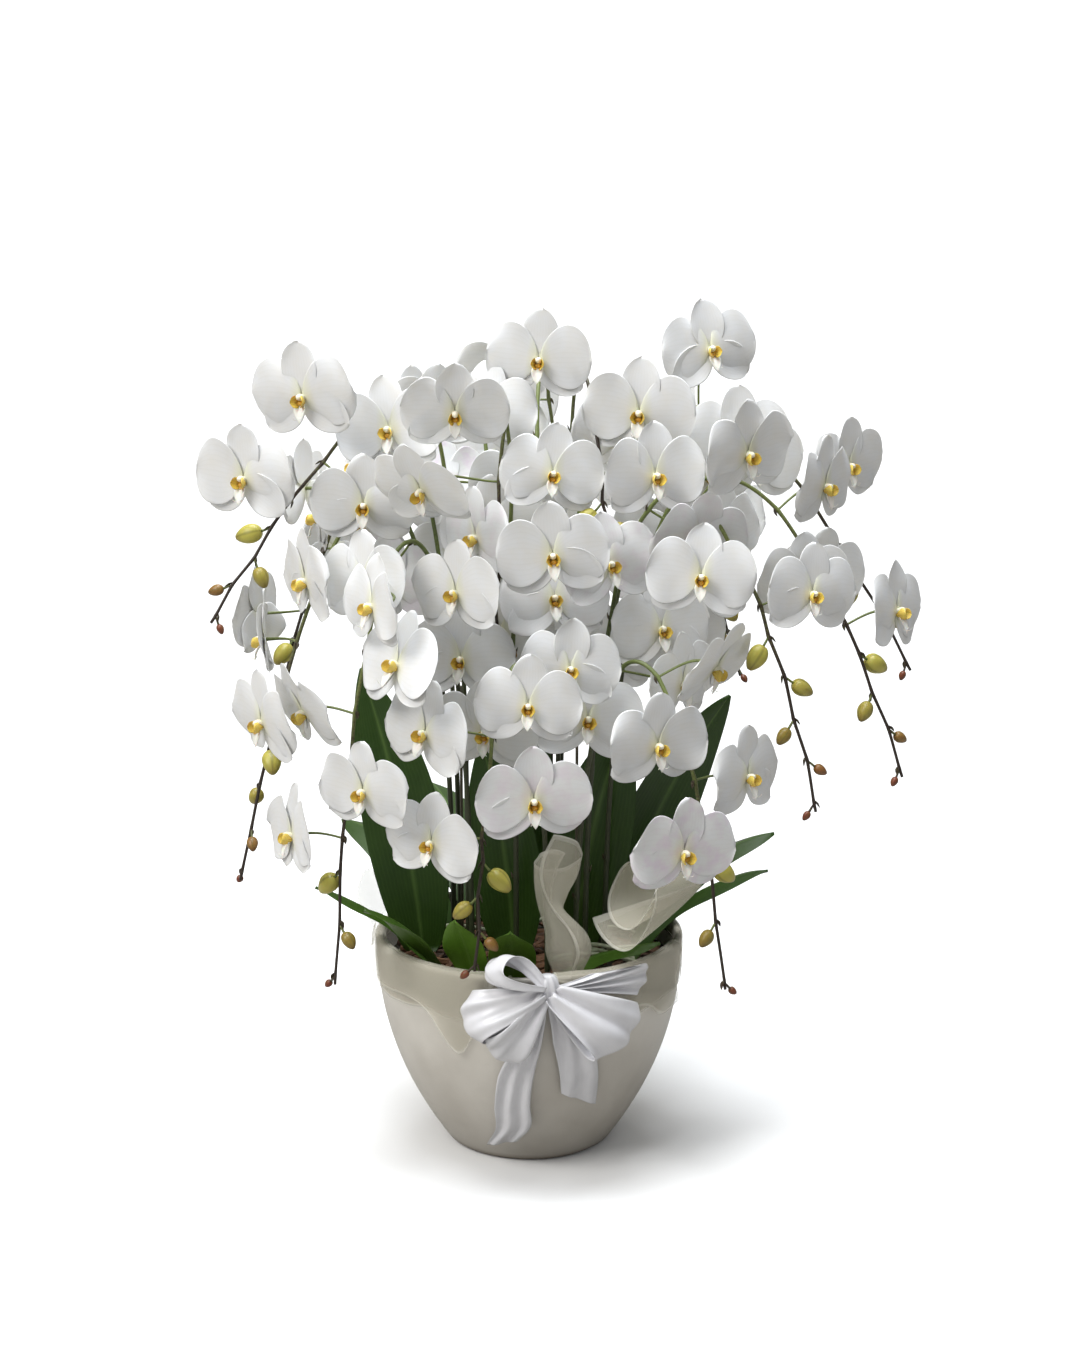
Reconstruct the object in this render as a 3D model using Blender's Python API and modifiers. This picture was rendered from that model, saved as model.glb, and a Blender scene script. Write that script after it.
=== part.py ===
"""Potted orchid: white moth orchids in a rounded pot, with a net wrap and a satin bow at its rim.

The frame has its origin at the middle of the pot's base, +Z up, and the bow faces -Y. Azimuths are in
degrees, 0 towards -Y and 90 towards +X. Each flower spike is one grown piece: its stem, the short stalks,
the flowers and the buds.
"""

import math

import bmesh
import bpy
import numpy as np
from mathutils import Matrix, Vector

# ---- driving sizes, in metres ----
POT_HEIGHT = 0.210
POT_RIM_RADIUS = 0.152
POT_BASE_RADIUS = 0.081
POT_WALL = 0.0065
POT_FLOOR = 0.009
POT_CURVE = 2.2  # how quickly the wall turns upright: the power of the remaining height
SOIL_BELOW_RIM = 0.028
EDGE_ROUND = 0.002  # how far the pot's lip is eased, in height
FLOWER_RADIUS = 0.051
FLOWER_THICKNESS = 0.0020
LIP_REACH = 0.020
PEDICEL_SIDE = 0.044
PEDICEL_FORWARD = 0.022
PEDICEL_RADIUS = 0.0014
STEM_RADIUS = 0.0027
BUD_LENGTH = 0.027
LEAF_THICKNESS = 0.0020
STAKE_RADIUS = 0.0015
STAKE_FROM_STEM = 0.009
WRAP_THICKNESS = 0.0012
WRAP_LAYER = 0.0029  # the room that each layer of net or ribbon takes on the pot
COLLAR_TUCK = 0.016  # how far the folded net reaches down inside the rim
COLLAR_DROP = 0.046  # and down outside it
RIBBON_THICKNESS = 0.0010
RIBBON_WIDTH = 0.036
GAP = 0.0003  # between pieces that touch
CLEAR = 0.007  # between a flower and what it must not cross

SOIL_TOP = POT_HEIGHT - SOIL_BELOW_RIM
LEAF_SHARE = POT_RIM_RADIUS / 0.152  # the leaves below are for a rim of 0.152, and shrink or grow with it

# One row a spike: where its root stands (x, y), the azimuth of its tip, how high above the rim its stem
# arches, its tip's distance from the pot's axis and height above the rim, how far out the arch reaches at
# the top, its flowers and buds, where the flowers look, and the shares of the stem at the first and the
# last flower.
SPIKES = {
    1: (-0.060, -0.005, -80, 0.515, 0.305, 0.318, 0.10, 9, 4, -14, 0.39, 0.84),
    2: (-0.075, 0.016, -74, 0.430, 0.285, 0.073, 0.50, 5, 4, -72, 0.50, 0.81),
    3: (-0.055, -0.045, -52, 0.400, 0.227, -0.010, 0.80, 7, 3, -42, 0.44, 0.84),
    4: (-0.012, -0.048, -22, 0.505, 0.080, 0.268, 0.70, 7, 4, -12, 0.40, 0.84),
    5: (0.028, 0.024, 42, 0.530, 0.110, 0.385, 0.60, 8, 4, 5, 0.40, 0.90),
    6: (0.018, -0.072, -16, 0.288, 0.172, 0.012, 0.80, 6, 4, -5, 0.42, 0.80),
    7: (0.055, -0.040, 67, 0.440, 0.292, 0.150, 0.55, 6, 5, 15, 0.42, 0.76),
    8: (0.075, -0.010, 80, 0.450, 0.362, 0.171, 0.50, 7, 4, 34, 0.38, 0.82),
    9: (0.070, 0.025, 98, 0.505, 0.385, 0.252, 0.30, 7, 3, 30, 0.40, 0.84),
    10: (0.045, -0.062, 47, 0.290, 0.246, -0.005, 0.72, 6, 3, 36, 0.40, 0.78),
    11: (0.030, 0.050, 130, 0.515, 0.290, 0.220, 0.40, 8, 3, 120, 0.38, 0.86),
    12: (0.000, 0.065, 172, 0.540, 0.300, 0.190, 0.45, 8, 3, 170, 0.38, 0.86),
    13: (-0.033, 0.056, -160, 0.530, 0.290, 0.220, 0.40, 7, 3, -145, 0.42, 0.86),
    14: (-0.070, 0.050, -116, 0.470, 0.300, 0.170, 0.40, 5, 3, -122, 0.52, 0.84),
}

# One row a leaf: its root (x, y), the azimuth it leans to, the azimuth its broad face looks to, its length
# and width, and how steeply it rises at its foot and at its tip, in degrees above level.
LEAVES = {
    1: (-0.105, -0.008, -120, 0, 0.290, 0.078, 84, 68),
    2: (0.046, 0.004, 90, 0, 0.240, 0.080, 86, 70),
    3: (0.088, 0.066, 100, 20, 0.270, 0.075, 76, 52),
    4: (-0.052, -0.090, -22, -22, 0.085, 0.044, 70, 46),
    5: (-0.014, -0.097, -2, -2, 0.100, 0.045, 62, 30),
    6: (-0.084, -0.066, -48, -48, 0.125, 0.044, 60, 22),
    7: (-0.098, -0.036, -75, -75, 0.140, 0.036, 52, 22),
    8: (0.028, -0.080, 84, 84, 0.105, 0.040, 32, 8),
    9: (0.100, -0.030, 80, 80, 0.170, 0.060, 62, 10),
    10: (0.054, 0.091, 150, 150, 0.210, 0.070, 60, 5),
    11: (0.000, 0.105, 180, 180, 0.220, 0.072, 58, -5),
    12: (-0.046, 0.096, -158, -158, 0.210, 0.070, 60, 5),
    13: (-0.086, 0.064, -134, -134, 0.190, 0.064, 58, 0),
    14: (-0.020, 0.036, 90, 5, 0.240, 0.070, 88, 78),
    15: (0.104, 0.025, 108, 108, 0.190, 0.064, 60, 6),
    16: (-0.015, -0.018, -90, -5, 0.220, 0.070, 88, 76),
}

FACETS = 36  # round the pot and everything that lies on it
STAKED = (1, 2, 7, 9, 11, 12, 13)
STAKE_HEIGHT = 0.27

# The bow's knot lies on the pot's front, a little right of its middle.
KNOT_AZIMUTH = 6
KNOT_HEIGHT = 0.207


# ---- directions and frames ----
def compass(angle, rise=0.0):
    """The unit vector at this azimuth and this rise above level, both in degrees."""
    a, r = math.radians(angle), math.radians(rise)
    return np.array([math.sin(a) * math.cos(r), -math.cos(a) * math.cos(r), math.sin(r)])


def unit(v):
    """The vectors at length 1."""
    return v / np.linalg.norm(v, axis=-1, keepdims=True)


def pot_radius(z):
    """The pot's outer radius at this height, from the base's to the rim's, turning upright on the way."""
    left = np.clip(1 - np.asarray(z, float) / POT_HEIGHT, 0, 1)
    return POT_BASE_RADIUS + (POT_RIM_RADIUS - POT_BASE_RADIUS) * (1 - left**POT_CURVE)


def on_pot(azimuth, z, out):
    """The point at this azimuth and height, this far out from the pot's surface."""
    return compass(azimuth) * (float(pot_radius(z)) + out) + np.array([0, 0, z])


# ---- where the stems and the flowers go ----
def rachis(row, n=64):
    """n evenly spaced points along a spike's stem: a Bezier curve that rises from its root, arches and hangs
    to its tip."""
    x, y, azimuth, apex, reach, tip, hook = row[:7]
    root = np.array([x, y, SOIL_TOP + GAP])
    end = compass(azimuth) * reach + [0, 0, POT_HEIGHT + tip]
    top = (POT_HEIGHT + apex - 0.125 * (root[2] + end[2])) / 0.75
    rise = np.array([x, y, top])
    over = np.array([*(root[:2] + hook * (end[:2] - root[:2])), top])
    t = np.linspace(0, 1, 400)[:, None]
    p = (1 - t) ** 3 * root + 3 * (1 - t) ** 2 * t * rise + 3 * (1 - t) * t**2 * over + t**3 * end
    along = np.concatenate([[0], np.cumsum(np.linalg.norm(np.diff(p, axis=0), axis=1))])
    s = np.linspace(0, along[-1], n)
    return np.stack([np.interp(s, along, p[:, k]) for k in range(3)], 1)


def point_at(stem, share):
    """The point at this share of the stem's length."""
    k = share * (len(stem) - 1)
    j = min(int(k), len(stem) - 2)
    return stem[j] + (k - j) * (stem[j + 1] - stem[j])


def facing(normal):
    """The right, up and facing vectors of a flower that looks along this vector, as columns."""
    n = unit(normal)
    up = unit(np.array([0, 0, 1.0]) - n[2] * n)
    return np.stack([np.cross(up, n), up, n], 1)


TURN = np.linspace(0, 2 * np.pi, 24, endpoint=False)
RIM = np.stack([np.cos(TURN), np.sin(TURN), 0 * TURN], 1)
DISC = np.concatenate([RIM, RIM[::2] * 0.66, RIM[::4] * 0.33, [[0, 0, 0]]]) * FLOWER_RADIUS
LIP = np.stack([np.zeros(3), np.full(3, -0.006), np.linspace(0.006, LIP_REACH, 3)], 1)
STALK_SHARES = np.linspace(0.15, 0.9, 8)[:, None]
SPOTS = len(DISC) + len(LIP) + len(STALK_SHARES)


def disc_distance(points, at, axes):
    """How far each point lies from the flat disc of its flower."""
    q = (points - at) @ axes
    return np.hypot(np.maximum(np.hypot(q[..., 0], q[..., 1]) - FLOWER_RADIUS, 0), q[..., 2])


def samples(flower):
    """Points on the flower's disc, then on its lip, then on its stalk."""
    at, axes, foot = flower["at"], flower["axes"], flower["foot"]
    return np.concatenate([at + DISC @ axes.T, at + LIP @ axes.T, foot + STALK_SHARES * (at - foot)])


def crossing(flower, others, points):
    """How far this flower reaches into the clear space of the other flowers and of the points, summed.
    others holds their middles, axes and sample points, each stacked."""
    at, axes = flower["at"], flower["axes"]
    own = samples(flower)
    thin = own[len(DISC):]
    near = np.linalg.norm(others[0] - at, axis=1) < 2 * FLOWER_RADIUS + PEDICEL_SIDE
    total = 0.0
    if near.any():
        middles, turns, theirs = (part[near] for part in others)
        total += np.maximum(CLEAR - disc_distance(own, middles[:, None], turns), 0).sum()
        total += np.maximum(CLEAR - disc_distance(theirs, at, axes), 0).sum()
        apart = np.linalg.norm(theirs[:, len(DISC):, None] - thin, axis=-1)
        total += np.maximum(CLEAR - apart, 0).sum()
    close = points[np.linalg.norm(points - at, axis=1) < FLOWER_RADIUS + PEDICEL_SIDE]
    if len(close):
        total += np.maximum(CLEAR - disc_distance(close, at, axes), 0).sum()
        total += np.maximum(CLEAR - np.linalg.norm(close[:, None] - thin, axis=2), 0).sum()
    return total


def flower_shares(number):
    """The shares of the spike's stem where its flowers' stalks leave it."""
    return np.linspace(SPIKES[number][10], SPIKES[number][11], SPIKES[number][7])


def bud_shares(number):
    """The shares of the spike's stem where its buds' stalks leave it, after the last flower."""
    return np.linspace(SPIKES[number][11] + 0.035, 0.99, SPIKES[number][8])


def wanted_flowers(number, stem):
    """The spike's flowers: each one's foot on the stem, its side of the stem and the way it looks."""
    face = SPIKES[number][9]
    flowers = []
    for i, share in enumerate(flower_shares(number)):
        tangent = unit(point_at(stem, share + 0.02) - point_at(stem, share - 0.02))
        out = compass(face, -4)
        hand = 1 if (i + number) % 2 else -1
        side = hand * unit(np.cross(tangent, out))
        foot = point_at(stem, share)
        flowers.append({"spike": number, "foot": foot, "side": side, "out": out, "face": face})
    return flowers


def stand(flower, forward, yaw, pitch, swing):
    """The flower with these changes to how far forward and sideways it stands and to where it looks."""
    side, out = flower["side"], flower["out"]
    spread = 14 * np.sign(side @ np.cross([0, 0, 1.0], out))
    at = flower["foot"] + side * PEDICEL_SIDE * swing + out * (PEDICEL_FORWARD + forward)
    return dict(flower, at=at, axes=facing(compass(flower["face"] + spread + yaw, pitch - 4)))


TRIES = [
    (forward, yaw, pitch, swing)
    for forward in (0, 0.008, -0.006, 0.016, 0.024, -0.012, 0.034)
    for yaw in (0, 16, -16, 32, -32)
    for pitch in (0, 14, -14, 28, -28)
    for swing in (1, 0.6, 1.35, -0.9)
]
COSTS = [abs(f) * 40 + abs(y) / 60 + abs(p) / 60 + abs(s - 1) * 0.6 for f, y, p, s in TRIES]
TRIES = sorted(zip(COSTS, TRIES))


def best_stand(flower, others, points):
    """The least change to the flower that keeps it clear, or the change that leaves it least in the way."""
    middles = np.array([other["at"] for other in others]).reshape(-1, 3)
    turns = np.array([other["axes"] for other in others]).reshape(-1, 3, 3)
    spots = np.array([samples(other) for other in others]).reshape(len(others), SPOTS, 3)
    best, best_cost = None, math.inf
    for cost, change in TRIES:
        if cost >= best_cost:
            break
        trial = stand(flower, *change)
        total = cost + 2000 * crossing(trial, (middles, turns, spots), points)
        if total < best_cost:
            best, best_cost = dict(trial, cost=total), total
    return best


def settled(flowers, solids):
    """The flowers, each moved as little as keeps it clear of the rest. solids gives the points that each
    spike's flowers must miss."""
    done = []
    for flower in flowers:
        done.append(best_stand(flower, done, solids[flower["spike"]]))
    for _ in range(2):
        for i, flower in enumerate(done):
            if flower["cost"] > 2:
                others = done[:i] + done[i + 1:]
                done[i] = best_stand(flower, others, solids[flower["spike"]])
    return done


def wanted_buds(number, stem):
    """The spike's buds as (foot, middle, direction, length), each smaller than the last, to the tip."""
    shares = bud_shares(number)
    buds = []
    for i, share in enumerate(shares):
        size = BUD_LENGTH * (1 - 0.62 * i / (len(shares) - 1))
        tangent = unit(point_at(stem, min(share + 0.02, 1)) - point_at(stem, share - 0.02))
        side = np.cross(tangent, compass(SPIKES[number][9]))
        hand = 1 if (i + number) % 2 else -1
        way = unit(0.75 * hand * unit(side) + 0.35 * tangent + [0, 0, -0.35])
        foot = point_at(stem, share)
        buds.append((foot, foot + way * (0.55 * size + 0.35 * BUD_LENGTH), way, size))
    return buds


# ---- leaves ----
def leaf_grid(number, along=9, across=3, fold=0.16):
    """Points of a leaf's middle surface (along, across): its middle line bends evenly from its rise at the
    foot to its rise at the tip, its half width swells to the widest two fifths of the way up and its sides
    fold up a little."""
    lean, face = LEAVES[number][2:4]
    x, y, length, width = LEAF_SHARE * np.array(LEAVES[number])[[0, 1, 4, 5]]
    rise_foot, rise_tip = LEAVES[number][6:]
    t = np.linspace(0, 1, along)
    rise = np.radians(rise_foot + (rise_tip - rise_foot) * t)
    step = np.stack([np.cos(rise), np.sin(rise)], 1) * length / (along - 1)
    run = np.concatenate([[[0, 0]], np.cumsum((step[:-1] + step[1:]) / 2, axis=0)])
    line = np.array([x, y, SOIL_TOP + 0.006]) + run[:, :1] * compass(lean) + run[:, 1:] * [0, 0, 1]
    swell = 0.34 + 0.66 * np.sin(np.pi * np.clip(t * 1.02, 0, 1) ** 0.9) ** 0.7
    half = np.maximum(width / 2 * swell * np.sqrt(1 - t**6), 0.004)[:, None, None]
    wide = np.cross([0, 0, 1.0], compass(face))
    tangent = np.gradient(line, axis=0)
    tangent /= np.linalg.norm(tangent, axis=1)[:, None]
    wide = wide - (tangent @ wide)[:, None] * tangent
    wide /= np.linalg.norm(wide, axis=1)[:, None]
    up = np.cross(wide, tangent)
    u = np.linspace(-1, 1, across)[None, :, None]
    return line[:, None] + u * half * wide[:, None] + fold * abs(u) * half * up[:, None]


# ---- building the objects ----
def collection(name):
    """A new collection under the scene's own."""
    made = bpy.data.collections.new(name)
    bpy.context.scene.collection.children.link(made)
    return made


def material(name, colour, roughness=0.5, metallic=0.0):
    """A Principled material, made once for each name."""
    if name in bpy.data.materials:
        return bpy.data.materials[name]
    made = bpy.data.materials.new(name)
    made.use_nodes = True
    shader = made.node_tree.nodes["Principled BSDF"]
    shader.inputs["Base Color"].default_value = (*colour, 1)
    shader.inputs["Roughness"].default_value = roughness
    shader.inputs["Metallic"].default_value = metallic
    return made


def add(name, mesh, where, look):
    """The mesh as an object of this collection, with this material."""
    obj = bpy.data.objects.new(name, mesh)
    where.objects.link(obj)
    obj.data.materials.append(look)
    return obj


def sheet(name, grid, thickness, where, look):
    """A grid of points (rows, columns, 3) as a surface of this thickness."""
    rows, columns = grid.shape[:2]
    k = np.arange(rows * columns).reshape(rows, columns)
    quads = np.stack([k[:-1, :-1], k[1:, :-1], k[1:, 1:], k[:-1, 1:]], -1).reshape(-1, 4)
    mesh = bpy.data.meshes.new(name)
    mesh.from_pydata(grid.reshape(-1, 3).tolist(), [], quads.tolist())
    obj = add(name, mesh, where, look)
    solidify = obj.modifiers.new("Thickness", "SOLIDIFY")
    solidify.thickness = thickness
    solidify.offset = 0
    return obj


def tube_mesh(name, points, radii):
    """The closed mesh of a round tube along these points."""
    curve = bpy.data.curves.new(name, "CURVE")
    curve.dimensions = "3D"
    curve.bevel_depth = 1.0
    curve.bevel_resolution = 1
    curve.use_fill_caps = True
    spline = curve.splines.new("POLY")
    spline.points.add(len(points) - 1)
    for point, at, radius in zip(spline.points, points, radii):
        point.co = (*at, 1)
        point.radius = radius
    return mesh_of(curve)


def mesh_of(curve):
    """The curve as a closed mesh with its caps welded; the curve is removed."""
    guide = bpy.data.objects.new(curve.name, curve)
    bpy.context.scene.collection.objects.link(guide)
    mesh = bpy.data.meshes.new_from_object(guide.evaluated_get(bpy.context.evaluated_depsgraph_get()))
    bpy.data.objects.remove(guide)
    work = bmesh.new()
    work.from_mesh(mesh)
    bmesh.ops.remove_doubles(work, verts=work.verts, dist=1e-6)
    bmesh.ops.recalc_face_normals(work, faces=work.faces)
    work.to_mesh(mesh)
    work.free()
    return mesh


def turned(name, profile, steps, where, look, closed=False):
    """A shape turned about Z from (radius, height) points that run down its outer side. A closed profile
    ends where it starts, and no edge runs along the axis."""
    pairs = [(i, i + 1) for i in range(len(profile) - 1)] + [(len(profile) - 1, 0)] * closed
    edges = [(i, j) for i, j in pairs if profile[i][0] or profile[j][0]]
    mesh = bpy.data.meshes.new(name)
    mesh.from_pydata([(r, 0, z) for r, z in profile], edges, [])
    obj = add(name, mesh, where, look)
    screw = obj.modifiers.new("Turn", "SCREW")
    screw.steps = screw.render_steps = steps
    screw.use_merge_vertices = True
    screw.merge_threshold = 1e-5
    return obj


# ---- the pot and what fills it ----
def pot(where):
    """The shell: a full lip, the curved wall and a thick flat floor."""
    shoulder = POT_HEIGHT - EDGE_ROUND
    outer = [(float(pot_radius(z)), float(z)) for z in np.linspace(shoulder, 0.0025, 8)]
    heights = np.linspace(POT_FLOOR + 0.006, shoulder, 6)
    inner = [(float(pot_radius(z)) - POT_WALL, float(z)) for z in heights]
    lip = [(inner[-1][0] + 0.0018, POT_HEIGHT), (outer[0][0] - 0.0018, POT_HEIGHT)]
    foot = [(POT_BASE_RADIUS - 0.004, 0.0), (0.0, 0.0)]
    bowl = [(0.0, POT_FLOOR), (inner[0][0] - 0.006, POT_FLOOR)]
    turned("pot", lip + outer + foot + bowl + inner, FACETS, where, WHITE_GLAZE, closed=True)


def growing_medium(where):
    """The bark and moss that fill the pot, a hair clear of its wall and floor."""
    heights = np.linspace(SOIL_TOP, POT_FLOOR + 0.008, 5)
    side = [(float(pot_radius(z)) - POT_WALL - 2 * GAP, float(z)) for z in heights]
    floor = POT_FLOOR + GAP
    foot = [(side[-1][0] - 0.008, floor), (0.0, floor)]
    turned("growing_medium", [(0.0, SOIL_TOP)] + side + foot, FACETS, where, BARK)


# ---- flower spikes ----
def flower_mesh():
    """The outline of one open flower, flat, facing +Z with its back sepal towards +Y: two broad petals and
    three sepals."""
    half = [(60, 0.62), (38, 0.97), (-6, 0.97), (-30, 0.60), (-60, 0.95)]
    ring = [(90, 0.98)] + half + [(-90, 0.40)] + [(180 - a, r) for a, r in reversed(half)]
    curve = bpy.data.curves.new("flower", "CURVE")
    curve.dimensions = "2D"
    curve.fill_mode = "BOTH"
    curve.extrude = FLOWER_THICKNESS / 2
    spline = curve.splines.new("POLY")
    spline.points.add(len(ring) - 1)
    for point, (angle, share) in zip(spline.points, ring):
        a = math.radians(angle)
        point.co = (math.cos(a) * share * FLOWER_RADIUS, math.sin(a) * share * FLOWER_RADIUS, 0, 1)
    spline.use_cyclic_u = True
    return mesh_of(curve)


def add_cone(work, foot, tip, foot_radius, tip_radius, sides):
    """A closed cone or rod between two points."""
    way = Vector(tip) - Vector(foot)
    turn = way.to_track_quat("Z", "Y").to_matrix().to_4x4()
    bmesh.ops.create_cone(
        work, cap_ends=True, segments=sides, radius1=foot_radius, radius2=tip_radius, depth=way.length,
        matrix=Matrix.Translation((Vector(foot) + Vector(tip)) / 2) @ turn,
    )


def placed_shape(work, shape, place):
    """Adds a mesh to this one at a place."""
    before = len(work.verts)
    work.from_mesh(shape)
    bmesh.ops.transform(work, matrix=place, verts=list(work.verts)[before:])


def bloom_shapes(number, stem, flowers, flower_shape):
    """The spike's stalks, flowers, lips and buds. Within each of the four, nothing touches."""
    shapes = {name: bmesh.new() for name in ("stalks", "flowers", "lips", "buds")}
    for flower in flowers:
        axes, at = flower["axes"], flower["at"]
        place = Matrix([[*axes[k], at[k]] for k in range(3)] + [[0, 0, 0, 1]])
        placed_shape(shapes["flowers"], flower_shape, place)
        into_lip = at + axes @ np.array([0, -0.004, 0.003])
        add_cone(shapes["stalks"], flower["foot"], into_lip, PEDICEL_RADIUS, PEDICEL_RADIUS, 3)
        lip_foot = at + axes @ np.array([0, -0.004, 0])
        lip_tip = at + axes @ np.array([0, -0.010, LIP_REACH])
        add_cone(shapes["lips"], lip_foot, lip_tip, 0.009, 0.003, 3)
    for foot, middle, way, size in wanted_buds(number, stem):
        add_cone(shapes["stalks"], foot, middle, PEDICEL_RADIUS * 0.8, PEDICEL_RADIUS * 0.8, 3)
        turn = Vector(way).to_track_quat("Z", "Y").to_matrix().to_4x4()
        shape = Matrix.Diagonal((0.30 * size, 0.30 * size, 0.5 * size, 1))
        place = Matrix.Translation(middle) @ turn @ shape
        bmesh.ops.create_uvsphere(shapes["buds"], u_segments=4, v_segments=3, radius=1.0, matrix=place)
    meshes = {}
    for name, work in shapes.items():
        meshes[name] = bpy.data.meshes.new(name)
        work.to_mesh(meshes[name])
        work.free()
    return meshes


def flower_spikes(where, cutters, stems, flowers):
    """Each spike: its stem, with its stalks, flowers, lips and buds united to it."""
    flower_shape = flower_mesh()
    for number, stem in stems.items():
        below = np.arange(0, SPIKES[number][10] - 0.03, 0.075)
        shares = np.concatenate([below, flower_shares(number), bud_shares(number), [1]])
        points = [point_at(stem, share) for share in shares]
        radii = STEM_RADIUS * np.linspace(1, 0.6, len(points))
        spike = add(f"spike_{number:02d}", tube_mesh("stem", points, radii), where, PETAL)
        own = [flower for flower in flowers if flower["spike"] == number]
        for name, mesh in bloom_shapes(number, stem, own, flower_shape).items():
            grown = add(f"{name}_{number:02d}", mesh, cutters, PETAL)
            grown.hide_render = True
            grown.display_type = "WIRE"
            union = spike.modifiers.new(f"With its {name}", "BOOLEAN")
            union.operation = "UNION"
            union.object = grown


def stakes(where, stems):
    """Thin wires that stand beside some stems, on the side that the stem leans away from."""
    for number in STAKED:
        stem = stems[number]
        lean = unit((stem[24] - stem[0]) * [1, 1, 0])
        foot = stem[0] - lean * STAKE_FROM_STEM
        work = bmesh.new()
        add_cone(work, foot, foot + [0, 0, STAKE_HEIGHT], STAKE_RADIUS, STAKE_RADIUS, 8)
        mesh = bpy.data.meshes.new("stake")
        work.to_mesh(mesh)
        work.free()
        add(f"stake_{number:02d}", mesh, where, WIRE)


# ---- the wrap and the bow ----
def wrap_collar():
    """The net folded over the rim: from inside the pot, over its top and down its outside, open behind the
    bow."""
    over = WRAP_LAYER / 2
    crest = POT_HEIGHT + over
    tucks = POT_HEIGHT - np.array([COLLAR_TUCK, EDGE_ROUND])
    drops = POT_HEIGHT - np.array([EDGE_ROUND, 0.52 * COLLAR_DROP, COLLAR_DROP])
    inside = np.stack([pot_radius(tucks) - POT_WALL - over, tucks], 1)
    top = [(POT_RIM_RADIUS - POT_WALL + 0.0005, crest), (POT_RIM_RADIUS - 0.0005, crest)]
    outside = np.stack([pot_radius(drops) + over, drops], 1)
    section = np.concatenate([inside, top, outside])
    turn = 2 * np.pi * np.arange(1, FACETS) / FACETS
    ring = np.stack([np.sin(turn), -np.cos(turn)], 1)
    height = np.broadcast_to(section[:, None, 1:], (len(section), len(turn), 1))
    return np.concatenate([section[:, None, :1] * ring, height], 2)


def over_collar(azimuths, tops, bottoms, rows=4):
    """A piece of net that lies on the collar and the pot, from its top to its bottom at each azimuth."""
    out = 1.5 * WRAP_LAYER
    return np.array([
        [on_pot(a, top + (bottom - top) * share, out) for a, top, bottom in zip(azimuths, tops, bottoms)]
        for share in np.linspace(0, 1, rows)
    ])


def wrap_flap():
    """The rounded flap at the left of the bow, whose corner hangs lowest a little left of the front."""
    azimuths = np.array([-88, -74, -60, -46, -36, -28, -21, -15, -11])
    drops = np.array([0.040, 0.042, 0.044, 0.050, 0.066, 0.092, 0.088, 0.058, 0.030])
    return over_collar(azimuths, np.full(len(drops), POT_HEIGHT - 0.001), POT_HEIGHT - drops)


def wrap_pleats():
    """The gathered net at the right of the bow, widening from the knot to the rim."""
    azimuths = np.linspace(14, 66, 8)
    drops = np.linspace(0.034, 0.075, 8)
    return over_collar(azimuths, np.full(8, POT_HEIGHT - 0.001), POT_HEIGHT - drops)


def wrap_flare():
    """The net's edge that stands out and up from the rim at the left."""
    azimuths = np.linspace(-116, -84, 6)
    rise = np.array([0.016, 0.034, 0.044, 0.046, 0.040, 0.024])
    foot, lean = WRAP_THICKNESS + 2 * GAP, 0.42
    return np.array([
        [compass(a) * (POT_RIM_RADIUS + lean * r * s) + [0, 0, POT_HEIGHT + foot + 0.001 + r * s]
         for a, r in zip(azimuths, rise)] for s in (0, 0.5, 1)
    ])


def net_curl():
    """A strip of net that stands in the pot, an S seen from above and drawn together at its foot."""
    plan = LEAF_SHARE * np.array([
        (0.012, -0.108), (0.020, -0.122), (0.035, -0.125), (0.046, -0.116), (0.050, -0.105), (0.064, -0.102),
    ])
    middle = plan.mean(axis=0)
    heights = SOIL_TOP + np.array([0.004, 0.040, 0.090, 0.140])
    drawn = np.array([0.30, 0.72, 1.0, 1.04])
    return np.array([[(*(middle + k * (p - middle)), z) for p in plan] for z, k in zip(heights, drawn)])


def net_cornet():
    """A corner of net rolled to a cornet, its mouth to the left and its point to the right of the rim."""
    mouth = np.array([0.094 * LEAF_SHARE, -0.110 * LEAF_SHARE, POT_HEIGHT + 0.068])
    point = np.array([0.164 * LEAF_SHARE, -0.094 * LEAF_SHARE, POT_HEIGHT + 0.070])
    wide, narrow = 0.036, 0.006
    axis = unit(point - mouth)
    side = unit(np.cross(axis, [0, 0, 1.0]))
    up = np.cross(side, axis)
    turn = np.radians(np.linspace(-60, 235, 10))
    ring = np.cos(turn)[:, None] * side + np.sin(turn)[:, None] * up
    return np.array([
        mouth + share * (point - mouth) + ring * (wide + share * (narrow - wide)) for share in (0, 0.5, 1)
    ])


def pillow(name, azimuth, height, out, size, tilt, where):
    """A soft closed shape on the pot's front, sized across, up and outwards and tilted in its surface."""
    ahead = compass(azimuth)
    across = np.array([-ahead[1], ahead[0], 0])
    place = Matrix([[across[k], (0, 0, 1)[k], ahead[k], 0] for k in range(3)] + [[0, 0, 0, 1]])
    spin = Matrix.Rotation(math.radians(tilt), 4, "Z")
    scale = Matrix.Diagonal((size[0] / 2, size[1] / 2, size[2] / 2, 1))
    at = Matrix.Translation(on_pot(azimuth, height, out))
    work = bmesh.new()
    matrix = at @ place @ spin @ scale
    bmesh.ops.create_uvsphere(work, u_segments=10, v_segments=6, radius=1.0, matrix=matrix)
    bmesh.ops.recalc_face_normals(work, faces=work.faces)
    mesh = bpy.data.meshes.new(name)
    work.to_mesh(mesh)
    work.free()
    add(name, mesh, where, SATIN)


def round_from_knot(across, height):
    """The azimuth of a point this many metres round the pot's surface from the knot, at this height."""
    return KNOT_AZIMUTH + math.degrees(across / float(pot_radius(height)))


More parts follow.
